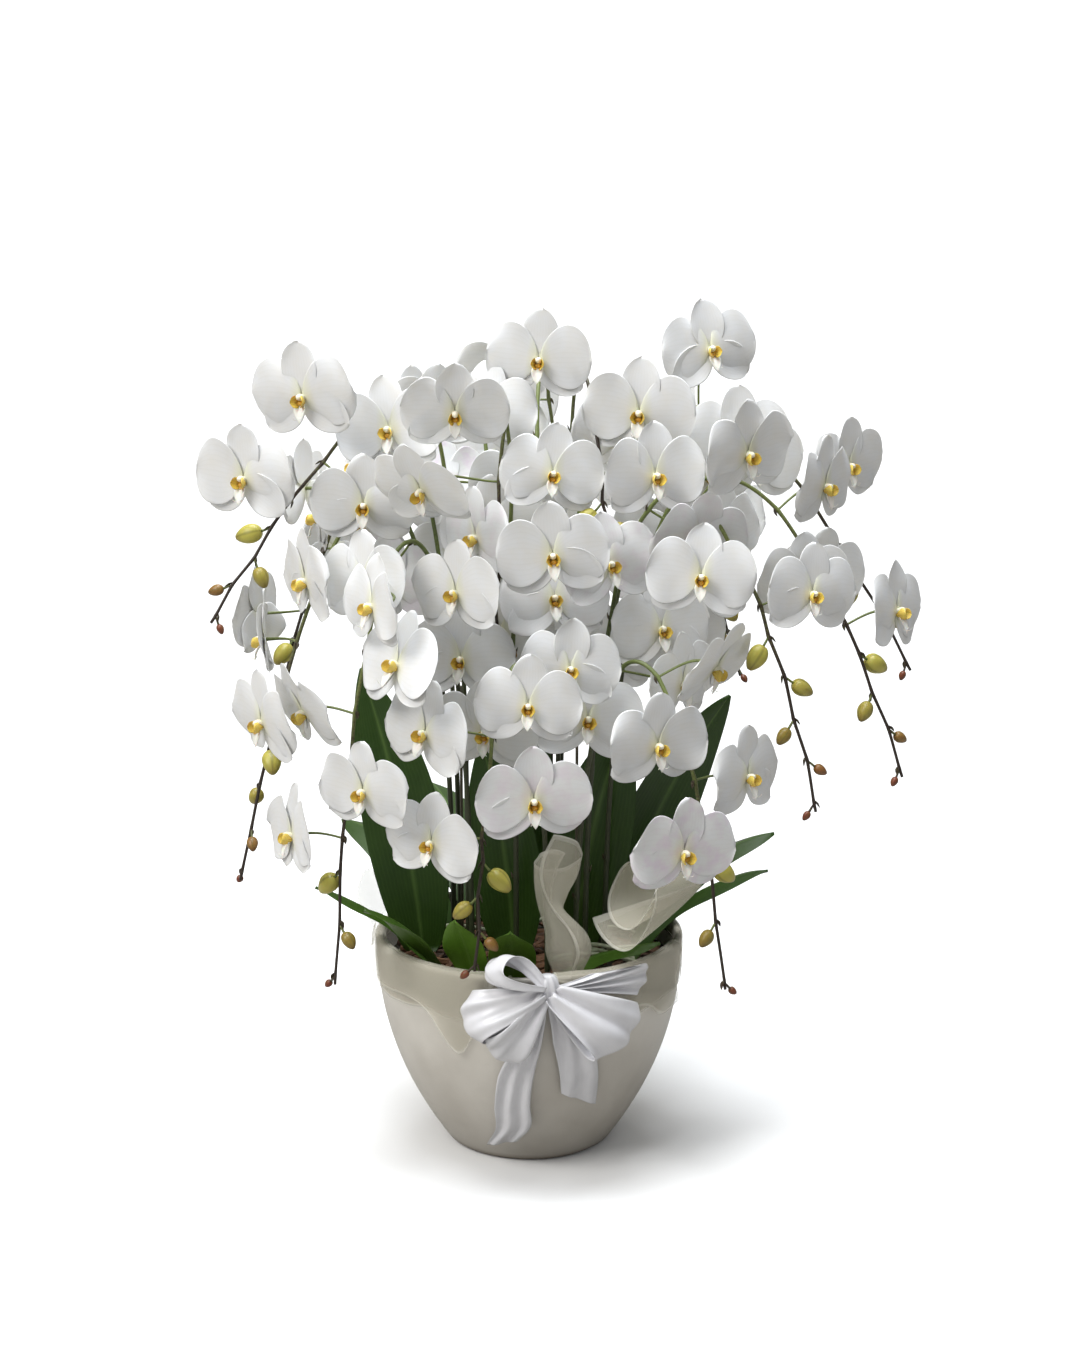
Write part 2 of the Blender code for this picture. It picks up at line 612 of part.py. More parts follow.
def tail(acrosses, heights, out):
    """A ribbon's tail that hangs on the pot, as a grid. Its middle passes these points, each so far across
    from the knot and at that height."""
    halves = (-RIBBON_WIDTH / 2, 0, RIBBON_WIDTH / 2)
    return np.array([
        [on_pot(round_from_knot(across + half, height), height, out) for half in halves]
        for across, height in zip(acrosses, heights)
    ])


def fan(out):
    """The flat fan of ribbon that widens from the knot along the rim to the right, as a grid."""
    acrosses = np.linspace(0.016, 0.086, 6)
    tops = np.full(6, POT_HEIGHT - 0.001)
    bottoms = POT_HEIGHT - np.linspace(0.014, 0.032, 6)
    return np.array([
        [on_pot(round_from_knot(a, top), top + (bottom - top) * share, out)
         for a, top, bottom in zip(acrosses, tops, bottoms)]
        for share in (0, 0.5, 1)
    ])


def bow(where):
    """The knot, three loops, the fan and two tails. The loops are soft closed shapes, the rest are sheets."""
    pillow("bow_knot", KNOT_AZIMUTH, KNOT_HEIGHT - 0.003, 0.017, (0.022, 0.026, 0.018), 0, where)
    pillow("bow_loop_right", 26, 0.160, 0.020, (0.078, 0.058, 0.020), -32, where)
    pillow("bow_loop_left", -13, 0.164, 0.020, (0.054, 0.062, 0.018), 25, where)
    pillow("bow_loop_upper", -7, 0.224, 0.020, (0.040, 0.034, 0.014), 20, where)
    out = 2.5 * WRAP_LAYER
    left_heights = [0.180, 0.145, 0.112, 0.080, 0.050, 0.022]
    left = tail([-0.008, -0.015, -0.022, -0.026, -0.028, -0.030], left_heights, out)
    right = tail([0.030, 0.034, 0.038, 0.040], [0.160, 0.130, 0.100, 0.076], out)
    for name, grid in (("bow_fan", fan(out)), ("bow_tail_left", left), ("bow_tail_right", right)):
        sheet(name, grid, RIBBON_THICKNESS, where, SATIN)


def main():
    for obj in list(bpy.data.objects):
        bpy.data.objects.remove(obj)
    orchid = collection("potted_orchid")
    cutters = collection("cutters")
    cutters.hide_render = True
    stems = {number: rachis(row) for number, row in SPIKES.items()}
    pot(orchid)
    growing_medium(orchid)
    for number in LEAVES:
        sheet(f"leaf_{number:02d}", leaf_grid(number), LEAF_THICKNESS, orchid, LEAF_GREEN)
    stakes(orchid, stems)
    for shape in (wrap_collar, wrap_flap, wrap_pleats, wrap_flare, net_curl, net_cornet):
        sheet(shape.__name__, shape(), WRAP_THICKNESS, orchid, NET)
    bow(orchid)
    leaf_points = np.concatenate([leaf_grid(n, 21, 7).reshape(-1, 3) for n in LEAVES])
    lines = {number: rachis(row, 160) for number, row in SPIKES.items()}
    solids = {
        number: np.concatenate([leaf_points] + [line for other, line in lines.items() if other != number])
        for number in SPIKES
    }
    wanted = [flower for number, stem in stems.items() for flower in wanted_flowers(number, stem)]
    flowers = settled(wanted, solids)
    flower_spikes(orchid, cutters, stems, flowers)


if __name__ == "__main__":
    WHITE_GLAZE = material("white glazed ceramic", (0.80, 0.78, 0.75), 0.35)
    BARK = material("bark and moss", (0.10, 0.07, 0.045), 0.9)
    PETAL = material("white petal", (0.85, 0.84, 0.86), 0.55)
    LEAF_GREEN = material("orchid leaf", (0.045, 0.13, 0.035), 0.4)
    WIRE = material("painted wire", (0.12, 0.10, 0.09), 0.5, 0.4)
    NET = material("cream net", (0.72, 0.68, 0.58), 0.8)
    SATIN = material("white satin", (0.82, 0.81, 0.85), 0.35)
    main()
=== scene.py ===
"""The potted orchid's looks: white moth orchids over dark leaves in a glazed pot, with a net wrap and a satin
bow.

Laid out as an add-on and run as a script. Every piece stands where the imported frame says, in metres, +Z up,
with the bow towards -Y. Azimuths are in degrees, 0 towards -Y and 90 towards +X.
"""

import math
from collections import namedtuple

import bpy
import numpy as np
from bpy.props import FloatProperty, PointerProperty, StringProperty
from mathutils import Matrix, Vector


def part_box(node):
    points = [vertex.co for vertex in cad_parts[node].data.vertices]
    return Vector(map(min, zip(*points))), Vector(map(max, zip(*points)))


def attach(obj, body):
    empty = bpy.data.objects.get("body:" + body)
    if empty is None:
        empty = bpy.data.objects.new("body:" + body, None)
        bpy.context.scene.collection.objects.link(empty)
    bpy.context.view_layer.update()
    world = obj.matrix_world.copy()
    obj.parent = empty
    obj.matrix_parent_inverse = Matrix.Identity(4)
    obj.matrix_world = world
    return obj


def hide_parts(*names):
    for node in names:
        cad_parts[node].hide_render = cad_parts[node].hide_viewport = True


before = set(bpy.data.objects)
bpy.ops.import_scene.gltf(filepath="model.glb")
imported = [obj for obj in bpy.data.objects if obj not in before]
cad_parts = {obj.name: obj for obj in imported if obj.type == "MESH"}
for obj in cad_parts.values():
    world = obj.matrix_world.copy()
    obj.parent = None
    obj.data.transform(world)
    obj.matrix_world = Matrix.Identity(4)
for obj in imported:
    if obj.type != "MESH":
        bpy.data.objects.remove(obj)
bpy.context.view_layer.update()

bl_info = {
    "name": "Potted Orchid",
    "version": (1, 0, 0),
    "blender": (4, 5, 0),
    "location": "View3D > Sidebar > Orchid",
    "description": "Arching sprays of white moth orchids in a wrapped pot with a satin bow",
    "category": "Add Mesh",
}

# ---- sizes that the frame gives ----
POT_LOW, POT_HIGH = (np.array(corner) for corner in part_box("pot"))
POT_HEIGHT = float(POT_HIGH[2])
POT_RIM_RADIUS = float(POT_HIGH[0] - POT_LOW[0]) / 2
SOIL_TOP = float(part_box("growing_medium")[1][2])

# ---- sizes that the plant keeps ----
POT_BASE_RADIUS = 0.081
POT_WALL = 0.0065
POT_CURVE = 2.2  # how quickly the wall turns upright: the power of the remaining height
FLOWER_RADIUS = 0.051
LIP_REACH = 0.020
PEDICEL_SIDE = 0.044
PEDICEL_FORWARD = 0.022
BUD_LENGTH = 0.027
ROOT_RADIUS = 0.0021
STAKE_RADIUS = 0.0015
CLIP_RADIUS = 0.0042
FLOOR_REACH = 9.0
COVE = 1.6  # the radius of the bend from the floor up to the backdrop
BACKDROP_HEIGHT = 5.0
GOLDEN_TURN = 2.39996  # radians from one bark chip to the next, so that they lie evenly
WRAP_LAYER = 0.0029  # the room that each layer of net or ribbon takes on the pot
ROOT_GAP = 0.0003  # between the medium and a stem's root
CLEAR = 0.007  # between a flower and what it must not cross
KNOT_AZIMUTH = 6.0
KNOT_HEIGHT = 0.207

# A spike: where its root stands, the azimuth of its tip, how high above the rim its stem arches, its tip's
# distance from the pot's axis and height above the rim, how far out the arch reaches at the top, how many
# flowers and buds it has, where the flowers look, and the shares of the stem at the first and the last
# flower.
Spike = namedtuple("Spike", "x y azimuth apex reach tip hook flowers buds face first last")
SPIKES = {
    1: Spike(-0.060, -0.005, -80, 0.515, 0.305, 0.318, 0.10, 9, 4, -14, 0.39, 0.84),
    2: Spike(-0.075, 0.016, -74, 0.430, 0.285, 0.073, 0.50, 5, 4, -72, 0.50, 0.81),
    3: Spike(-0.055, -0.045, -52, 0.400, 0.227, -0.010, 0.80, 7, 3, -42, 0.44, 0.84),
    4: Spike(-0.012, -0.048, -22, 0.505, 0.080, 0.268, 0.70, 7, 4, -12, 0.40, 0.84),
    5: Spike(0.028, 0.024, 42, 0.530, 0.110, 0.385, 0.60, 8, 4, 5, 0.40, 0.90),
    6: Spike(0.018, -0.072, -16, 0.288, 0.172, 0.012, 0.80, 6, 4, -5, 0.42, 0.80),
    7: Spike(0.055, -0.040, 67, 0.440, 0.292, 0.150, 0.55, 6, 5, 15, 0.42, 0.76),
    8: Spike(0.075, -0.010, 80, 0.450, 0.362, 0.171, 0.50, 7, 4, 34, 0.38, 0.82),
    9: Spike(0.070, 0.025, 98, 0.505, 0.385, 0.252, 0.30, 7, 3, 30, 0.40, 0.84),
    10: Spike(0.045, -0.062, 47, 0.290, 0.246, -0.005, 0.72, 6, 3, 36, 0.40, 0.78),
    11: Spike(0.030, 0.050, 130, 0.515, 0.290, 0.220, 0.40, 8, 3, 120, 0.38, 0.86),
    12: Spike(0.000, 0.065, 172, 0.540, 0.300, 0.190, 0.45, 8, 3, 170, 0.38, 0.86),
    13: Spike(-0.033, 0.056, -160, 0.530, 0.290, 0.220, 0.40, 7, 3, -145, 0.42, 0.86),
    14: Spike(-0.070, 0.050, -116, 0.470, 0.300, 0.170, 0.40, 5, 3, -122, 0.52, 0.84),
}

# One row a leaf: its root (x, y), the azimuth it leans to, the azimuth its broad face looks to, its length
# and width, and how steeply it rises at its foot and at its tip, in degrees above level.
LEAVES = {
    1: (-0.105, -0.008, -120, 0, 0.290, 0.078, 84, 68),
    2: (0.046, 0.004, 90, 0, 0.240, 0.080, 86, 70),
    3: (0.088, 0.066, 100, 20, 0.270, 0.075, 76, 52),
    4: (-0.052, -0.090, -22, -22, 0.085, 0.044, 70, 46),
    5: (-0.014, -0.097, -2, -2, 0.100, 0.045, 62, 30),
    6: (-0.084, -0.066, -48, -48, 0.125, 0.044, 60, 22),
    7: (-0.098, -0.036, -75, -75, 0.140, 0.036, 52, 22),
    8: (0.028, -0.080, 84, 84, 0.105, 0.040, 32, 8),
    9: (0.100, -0.030, 80, 80, 0.170, 0.060, 62, 10),
    10: (0.054, 0.091, 150, 150, 0.210, 0.070, 60, 5),
    11: (0.000, 0.105, 180, 180, 0.220, 0.072, 58, -5),
    12: (-0.046, 0.096, -158, -158, 0.210, 0.070, 60, 5),
    13: (-0.086, 0.064, -134, -134, 0.190, 0.064, 58, 0),
    14: (-0.020, 0.036, 90, 5, 0.240, 0.070, 88, 78),
    15: (0.104, 0.025, 108, 108, 0.190, 0.064, 60, 6),
    16: (-0.015, -0.018, -90, -5, 0.220, 0.070, 88, 76),
}
YOUNG_LEAVES = {4: 0.9, 5: 0.7, 6: 0.35, 7: 0.3, 8: 0.4}  # how light and fresh a green these are, 0 to 1


# ---- directions and frames ----
def compass(angle, rise=0.0):
    """The unit vector at this azimuth and this rise above level, both in degrees."""
    a, r = math.radians(angle), math.radians(rise)
    return np.array([math.sin(a) * math.cos(r), -math.cos(a) * math.cos(r), math.sin(r)])


def unit(v):
    """The vectors at length 1."""
    return v / np.linalg.norm(v, axis=-1, keepdims=True)


def pot_radius(z):
    """The pot's outer radius at this height: from the base's to the rim's, turning upright towards the
    rim."""
    left = np.clip(1 - np.asarray(z, float) / POT_HEIGHT, 0, 1)
    return POT_BASE_RADIUS + (POT_RIM_RADIUS - POT_BASE_RADIUS) * (1 - left**POT_CURVE)


def spread(*parts):
    """The parts spread to one shape and joined along a new last axis: points, or the three tones of
    points."""
    return np.stack(np.broadcast_arrays(*parts), -1)


def around(azimuth, r, z):
    """Points at these azimuths in degrees, distances from the pot's axis and heights."""
    a = np.radians(azimuth)
    return spread(r * np.sin(a), -r * np.cos(a), z)


def on_pot(azimuth, z, out):
    """Points at these azimuths in degrees and heights, this far out from the pot's surface, as arrays."""
    return around(azimuth, pot_radius(z) + out, z)


# ---- where the stems and the flowers are ----
def rachis(spike, n=64):
    """n evenly spaced points along a spike's stem: a Bezier curve that rises from its root, arches and hangs
    to its tip."""
    x, y, azimuth, apex, reach, tip, hook = spike[:7]
    root = np.array([x, y, SOIL_TOP + ROOT_GAP])
    end = compass(azimuth) * reach + [0, 0, POT_HEIGHT + tip]
    top = (POT_HEIGHT + apex - (root[2] + end[2]) / 8) / 0.75  # so that the curve's middle is at the apex
    rise = np.array([x, y, top])
    over = np.array([*(root[:2] + hook * (end[:2] - root[:2])), top])
    t = np.linspace(0, 1, 400)[:, None]
    p = (1 - t) ** 3 * root + 3 * (1 - t) ** 2 * t * rise + 3 * (1 - t) * t**2 * over + t**3 * end
    along = np.concatenate([[0], np.cumsum(np.linalg.norm(np.diff(p, axis=0), axis=1))])
    s = np.linspace(0, along[-1], n)
    return np.stack([np.interp(s, along, p[:, k]) for k in range(3)], 1)


def point_at(stem, share):
    """The point at this share of the stem's length."""
    k = share * (len(stem) - 1)
    j = min(int(k), len(stem) - 2)
    return stem[j] + (k - j) * (stem[j + 1] - stem[j])


def facing(normal):
    """The right, up and facing vectors of a flower that looks along this vector, as columns."""
    n = unit(normal)
    up = unit(np.array([0, 0, 1.0]) - n[2] * n)
    return np.stack([np.cross(up, n), up, n], 1)


TURN = np.linspace(0, 2 * np.pi, 24, endpoint=False)
RIM = np.stack([np.cos(TURN), np.sin(TURN), 0 * TURN], 1)
DISC = np.concatenate([RIM, RIM[::2] * 0.66, RIM[::4] * 0.33, [[0, 0, 0]]]) * FLOWER_RADIUS
LIP = np.stack([np.zeros(3), np.full(3, -0.006), np.linspace(0.006, LIP_REACH, 3)], 1)
STALK_SHARES = np.linspace(0.15, 0.9, 8)[:, None]


def disc_distance(points, at, axes):
    """How far each point lies from the flat disc of its flower."""
    q = (points - at) @ axes
    return np.hypot(np.maximum(np.hypot(q[..., 0], q[..., 1]) - FLOWER_RADIUS, 0), q[..., 2])


def samples(flower):
    """Points on the flower's disc, then on its lip, then on its stalk."""
    at, axes, foot = flower["at"], flower["axes"], flower["foot"]
    return np.concatenate([at + DISC @ axes.T, at + LIP @ axes.T, foot + STALK_SHARES * (at - foot)])


def crossing(flower, others, points):
    """How far this flower reaches into the clear space of the other flowers and of the points, summed. others
    holds their middles, axes and sample points, each stacked."""
    at, axes = flower["at"], flower["axes"]
    own = samples(flower)
    thin = own[len(DISC):]
    near = np.linalg.norm(others[0] - at, axis=1) < 2 * FLOWER_RADIUS + PEDICEL_SIDE
    total = 0.0
    if near.any():
        middles, turns, theirs = (part[near] for part in others)
        total += np.maximum(CLEAR - disc_distance(own, middles[:, None], turns), 0).sum()
        total += np.maximum(CLEAR - disc_distance(theirs, at, axes), 0).sum()
        apart = np.linalg.norm(theirs[:, len(DISC):, None] - thin, axis=-1)
        total += np.maximum(CLEAR - apart, 0).sum()
    close = points[np.linalg.norm(points - at, axis=1) < FLOWER_RADIUS + PEDICEL_SIDE]
    if len(close):
        total += np.maximum(CLEAR - disc_distance(close, at, axes), 0).sum()
        total += np.maximum(CLEAR - np.linalg.norm(close[:, None] - thin, axis=2), 0).sum()
    return total


def flower_shares(number):
    """The shares of the spike's stem where its flowers' stalks leave it."""
    return np.linspace(SPIKES[number].first, SPIKES[number].last, SPIKES[number].flowers)


def bud_shares(number):
    """The shares of the spike's stem where its buds' stalks leave it, after the last flower."""
    return np.linspace(SPIKES[number].last + 0.035, 0.99, SPIKES[number].buds)


def wanted_flowers(number, stem):
    """The spike's flowers, each with its stalk's foot on the stem, the side it stands to and the way it
    looks."""
    face = SPIKES[number].face
    flowers = []
    for i, share in enumerate(flower_shares(number)):
        tangent = unit(point_at(stem, share + 0.02) - point_at(stem, share - 0.02))
        out = compass(face, -4)
        hand = 1 if (i + number) % 2 else -1
        side = hand * unit(np.cross(tangent, out))
        foot = point_at(stem, share)
        flowers.append({"spike": number, "foot": foot, "side": side, "out": out, "face": face})
    return flowers


def stand(flower, forward, yaw, pitch, swing):
    """The flower with these changes to how far forward and sideways it stands and to where it looks."""
    side, out = flower["side"], flower["out"]
    spread = 14 * np.sign(side @ np.cross([0, 0, 1.0], out))
    at = flower["foot"] + side * PEDICEL_SIDE * swing + out * (PEDICEL_FORWARD + forward)
    return dict(flower, at=at, axes=facing(compass(flower["face"] + spread + yaw, pitch - 4)))


TRIES = [
    (forward, yaw, pitch, swing)
    for forward in (0, 0.008, -0.006, 0.016, 0.024, -0.012, 0.034)
    for yaw in (0, 16, -16, 32, -32)
    for pitch in (0, 14, -14, 28, -28)
    for swing in (1, 0.6, 1.35, -0.9)
]
COSTS = [abs(f) * 40 + abs(y) / 60 + abs(p) / 60 + abs(s - 1) * 0.6 for f, y, p, s in TRIES]
TRIES = sorted(zip(COSTS, TRIES))


def best_stand(flower, others, points):
    """The least change to the flower that keeps it clear, or the change that leaves it least in the way."""
    middles = np.array([other["at"] for other in others]).reshape(-1, 3)
    turns = np.array([other["axes"] for other in others]).reshape(-1, 3, 3)
    count = len(DISC) + len(LIP) + len(STALK_SHARES)
    spots = np.array([samples(other) for other in others]).reshape(-1, count, 3)
    best, best_cost = None, math.inf
    for cost, change in TRIES:
        if cost >= best_cost:
            break
        trial = stand(flower, *change)
        total = cost + 2000 * crossing(trial, (middles, turns, spots), points)
        if total < best_cost:
            best, best_cost = dict(trial, cost=total), total
    return best


def settled(flowers, solids):
    """The flowers, each moved as little as keeps it clear of the rest. solids gives the points a spike's must
    miss."""
    done = []
    for flower in flowers:
        done.append(best_stand(flower, done, solids[flower["spike"]]))
    for _ in range(2):
        for i, flower in enumerate(done):
            if flower["cost"] > 2:
                others = done[:i] + done[i + 1:]
                done[i] = best_stand(flower, others, solids[flower["spike"]])
    return done


def wanted_buds(number, stem):
    """The spike's buds as (foot, middle, direction, length): each smaller than the last, the end one at the
    tip."""
    shares = bud_shares(number)
    buds = []
    for i, share in enumerate(shares):
        size = BUD_LENGTH * (1 - 0.62 * i / (len(shares) - 1))
        tangent = unit(point_at(stem, min(share + 0.02, 1)) - point_at(stem, share - 0.02))
        side = np.cross(tangent, compass(SPIKES[number].face))
        hand = 1 if (i + number) % 2 else -1
        way = unit(0.75 * hand * unit(side) + 0.35 * tangent + [0, 0, -0.35])
        foot = point_at(stem, share)
        buds.append((foot, foot + way * (0.55 * size + 0.35 * BUD_LENGTH), way, size))
    return buds


def leaf_grid(number, along=9, across=3, fold=0.16):
    """Points of a leaf's middle surface (along, across): its middle line bends evenly from its rise at the
    foot to its rise at the tip, its half width swells to the widest two fifths of the way up and its sides
    fold up a little."""
    line, half, wide, up = leaf_frame(number, np.linspace(0, 1, along))
    u = np.linspace(-1, 1, across)[None, :, None]
    half = np.maximum(half, 0.004)[:, None, None]
    return line[:, None] + u * half * wide[:, None] + fold * abs(u) * half * up[:, None]


def leaf_frame(number, t):
    """A leaf's middle line, half width, sideways and upward vectors at evenly spaced shares of its length."""
    x, y, lean, face, length, width, rise_foot, rise_tip = LEAVES[number]
    rise = np.radians(rise_foot + (rise_tip - rise_foot) * t)
    step = np.stack([np.cos(rise), np.sin(rise)], 1) * length / (len(t) - 1)
    run = np.concatenate([[[0, 0]], np.cumsum((step[:-1] + step[1:]) / 2, axis=0)])
    line = np.array([x, y, SOIL_TOP + 0.006]) + run[:, :1] * compass(lean) + run[:, 1:] * [0, 0, 1]
    swell = np.sin(np.pi * np.clip(t * 1.02, 0, 1) ** 0.9) ** 0.7
    half = width / 2 * (0.34 + 0.66 * swell) * np.sqrt(1 - t**6)
    tangent = unit(np.gradient(line, axis=0))
    wide = np.cross([0, 0, 1.0], compass(face))
    wide = unit(wide - (tangent @ wide)[:, None] * tangent)
    return line, half, wide, np.cross(wide, tangent)


# ---- surfaces ----
def ring(columns):
    """The angles round a closed section."""
    return np.linspace(0, 2 * np.pi, columns, endpoint=False)


def skin(points, tone=(0, 0, 0), look=0, closed=True):
    """A batch of grids (grids, rows, columns, 3). A closed one joins its last column to its first and ends in
    a point at each end; its faces look out where the columns turn from across to up as the rows run
    forward."""
    return {"points": points, "tone": np.broadcast_to(tone, points.shape), "look": look, "closed": closed}


def build(name, skins, looks, smooth=True):
    """One object whose mesh is these skins together, with their tones in the attribute the materials read."""
    points, tone, faces, numbers, start = [], [], [], [], 0
    for part in skins:
        p, closed = part["points"], part["closed"]
        grids, rows, columns = p.shape[:3]
        k = start + np.arange(grids * rows * columns).reshape(grids, rows, columns)
        if closed:
            k = np.concatenate([k, k[:, :, :1]], 2)
        corners = [k[:, :-1, :-1], k[:, :-1, 1:], k[:, 1:, 1:], k[:, 1:, :-1]]
        points.append(p.reshape(-1, 3))
        tone.append(part["tone"].reshape(-1, 3))
        start += grids * rows * columns
        faces += np.stack(corners, -1).reshape(-1, 4).tolist()
        if closed:
            points.append(p[:, [0, -1]].mean(axis=2).reshape(-1, 3))
            tone.append(part["tone"][:, [0, -1]].mean(axis=2).reshape(-1, 3))
            ends = np.broadcast_to((start + 2 * np.arange(grids))[:, None], (grids, columns))
            first = np.stack([ends, k[:, 0, 1:], k[:, 0, :-1]], -1).reshape(-1, 3)
            last = np.stack([ends + 1, k[:, -1, :-1], k[:, -1, 1:]], -1).reshape(-1, 3)
            faces += first.tolist() + last.tolist()
            start += 2 * grids
        numbers += [part["look"]] * (len(faces) - len(numbers))
    mesh = bpy.data.meshes.new(name)
    mesh.from_pydata(np.concatenate(points).tolist(), [], faces)
    mesh.polygons.foreach_set("material_index", numbers)
    mesh.polygons.foreach_set("use_smooth", [smooth] * len(faces))
    pattern = mesh.attributes.new("tone", "FLOAT_VECTOR", "POINT")
    pattern.data.foreach_set("vector", np.concatenate(tone).ravel())
    for look in looks:
        mesh.materials.append(look)
    made = bpy.data.objects.new(name, mesh)
    bpy.context.scene.collection.objects.link(made)
    return made


def cloth(name, grid, look, thickness):
    """One sheet from a grid of points (rows, columns, 3), with this thickness to both sides. Its tones are
    the shares down and across it."""
    rows, columns = grid.shape[:2]
    down, across = np.linspace(0, 1, rows)[:, None], np.linspace(0, 1, columns)[None]
    made = build(name, [skin(grid[None], spread(down, across, 0 * down)[None], closed=False)], [look])
    wall = made.modifiers.new("Thickness", "SOLIDIFY")
    wall.thickness = thickness
    wall.offset = 0
    return made


def tube(points, radii, across, columns):
    """Round tubes (tubes, rows, columns, 3) along lines of points (tubes, rows, 3). across is a direction
    that no line runs along."""
    way = unit(np.gradient(points, axis=1))
    side = unit(across - (across * way).sum(-1, keepdims=True) * way)
    up = np.cross(way, side)
    turn = ring(columns)[:, None]
    ways = np.cos(turn) * side[:, :, None] + np.sin(turn) * up[:, :, None]
    return points[:, :, None] + np.asarray(radii)[..., None, None] * ways


def bezier(a, b, c, d, rows):
    """Points along cubic Bezier curves between arrays of points (curves, 3)."""
    t = np.linspace(0, 1, rows)[None, :, None]
    a, b, c, d = (np.asarray(p)[:, None] for p in (a, b, c, d))
    return (1 - t) ** 3 * a + 3 * (1 - t) ** 2 * t * b + 3 * (1 - t) * t**2 * c + t**3 * d


def blades(draw, length, half, swell, taper, bend, cup, ruffle, sweep, rows, columns, thick):
    """Closed petal shapes (petals, rows, columns, 3), along X, across Y and with their faces to +Z. The half
    width is half * u^swell (1 - u)^taper, scaled to reach half. The face is lifted by bend * length * u^2
    along it, by cup * width * v^2 across it and by waves that grow to the edge. draw holds four seeded
    numbers from -1 to 1 for each petal, which vary its bend, cup, waves and where the waves start."""
    u = np.linspace(0.012, 0.992, rows)[None, :, None] ** 0.9
    turn = ring(columns)[None, None]
    v, side = np.cos(turn), np.sin(turn)
    d = draw[:, :, None, None]
    peak = swell / (swell + taper)
    width = half * u**swell * (1 - u) ** taper / (peak**swell * (1 - peak) ** taper)
    wave = ruffle * (1 + 0.5 * d[:, 2]) * v**2 * u * np.sin(2 * np.pi * (1.25 * u + 0.22 * v) + 3 * d[:, 3])
    lift = (bend + 0.07 * d[:, 0]) * length * u**2 + (cup + 0.12 * d[:, 1]) * width * v**2 + wave
    rise = lift + side * thick * (1 - 0.55 * u)
    along = length * u + 0 * v
    return spread(along, width * v + sweep * half * np.sin(np.pi * u), rise), u, v


def turns(axis, angles):
    """Rotation matrices (angles, 3, 3) about X, Y or Z, given as 0, 1 or 2."""
    made = np.zeros((len(angles), 3, 3))
    j, k = (axis + 1) % 3, (axis + 2) % 3
    made[:, axis, axis] = 1
    made[:, j, j] = made[:, k, k] = np.cos(angles)
    made[:, k, j], made[:, j, k] = np.sin(angles), -np.sin(angles)
    return made


def turned_to(points, way, up):
    """Points made along X with faces to +Z, turned so that they run this way and face up as nearly as they
    can."""
    way = unit(np.array(way, float))
    up = np.array(up, float)
    up = unit(up - (up @ way) * way)
    return points @ np.stack([way, np.cross(up, way), up])


# ---- one open flower: X to its right, Y to its top, Z the way it faces ----
def flower_skins(flowers, settings, rng):
    """The skins of open flowers: three sepals behind, two broad petals, and in front the lip with its two
    side lobes, its callus, its pointed middle lobe with two tendrils, and the column."""
    count = len(flowers)
    size = (1 + 0.05 * rng.uniform(-1, 1, count))[:, None, None, None]
    roll = np.radians(8) * rng.uniform(-1, 1, count)
    nod, swing = np.radians(9) * rng.uniform(-1, 1, (2, count))
    hue = rng.uniform(0, 1, count)[:, None, None]
    axes = np.array([flower["axes"] for flower in flowers]) @ turns(0, nod) @ turns(1, swing) @ turns(2, roll)
    middles = np.array([flower["at"] for flower in flowers])[:, None, None]
    skins = []

    def place(points, tone, look):
        local = np.broadcast_to(points, (count, *points.shape[1:])) * size
        skins.append(skin(middles + np.einsum("nij,nrcj->nrci", axes, local), tone, look))

    length, half = settings.petal_length, settings.petal_width / 2
    sepal = (0.98 * length, 0.0180, 0.55, 0.58, -0.05, 0.10, 0.0016, 0, 16, 20, 0.0006)
    for heading, shape, at in (
        *((heading, sepal, (0, 0, 0)) for heading in (90, 212, -32)),
        *((90 - 85 * hand, (length, half, 0.70, 0.52, 0.0, -0.06, 0.0032, 0.05 * hand, 20, 28, 0.0005),
           (0, 0.001, 0.0024)) for hand in (1, -1)),
    ):
        blade, u, v = blades(rng.uniform(-1, 1, (count, 4)), *shape)
        a = math.radians(heading)
        place(turned_to(blade, (math.cos(a), math.sin(a), 0), (0, 0, 1)) + np.array(at), spread(u, v, hue), 0)
    still = np.zeros((1, 4))
    lobe, u, v = blades(still, 0.0185, 0.0058, 0.9, 1.0, -0.42, 0.35, 0, 0, 10, 10, 0.0007)
    lobe = turned_to(lobe, (0, -0.62, 0.78), (0, 0.78, 0.62)) + np.array([0, -0.004, 0.003])
    place(lobe, spread(u, v, 0.0), 1)
    for hand in (-1, 1):
        ear, u, v = blades(still, 0.0125, 0.0056, 0.6, 0.45, 0.30, 0.55, 0, 0, 8, 10, 0.0006)
        ear = turned_to(ear, (0.62 * hand, 0.10, 0.78), (-0.8 * hand, 0.2, 0.5))
        place(ear + np.array([0.0016 * hand, -0.004, 0.002]), spread(u, v, 0.5), 1)
        hair = bezier([[0.0008 * hand, -0.0155, 0.0105]], [[0.003 * hand, -0.020, 0.010]],
                      [[0.006 * hand, -0.0185, 0.015]], [[0.0035 * hand, -0.0145, 0.0165]], 8)
        place(tube(hair, np.linspace(0.0004, 0.00018, 8), np.array([0.3, 0.2, 1.0]), 4), (0.5, 0, 0), 1)
    place(ball((0, -0.0045, 0.0065), (0.0030, 0.0024, 0.0024), 6, 8)[None], (0.5, 0, 1.0), 1)
    column = bezier([[0, -0.001, 0.000]], [[0, 0.000, 0.004]], [[0, 0.002, 0.007]], [[0, 0.0008, 0.0105]], 8)
    girth = 0.0031 * np.sqrt(np.clip(1 - (np.linspace(0, 1, 8) * 0.97) ** 6, 0, 1))
    place(tube(column, girth, np.array([1.0, 0, 0]), 10), (0.2, 0, 0.12), 1)
    return skins


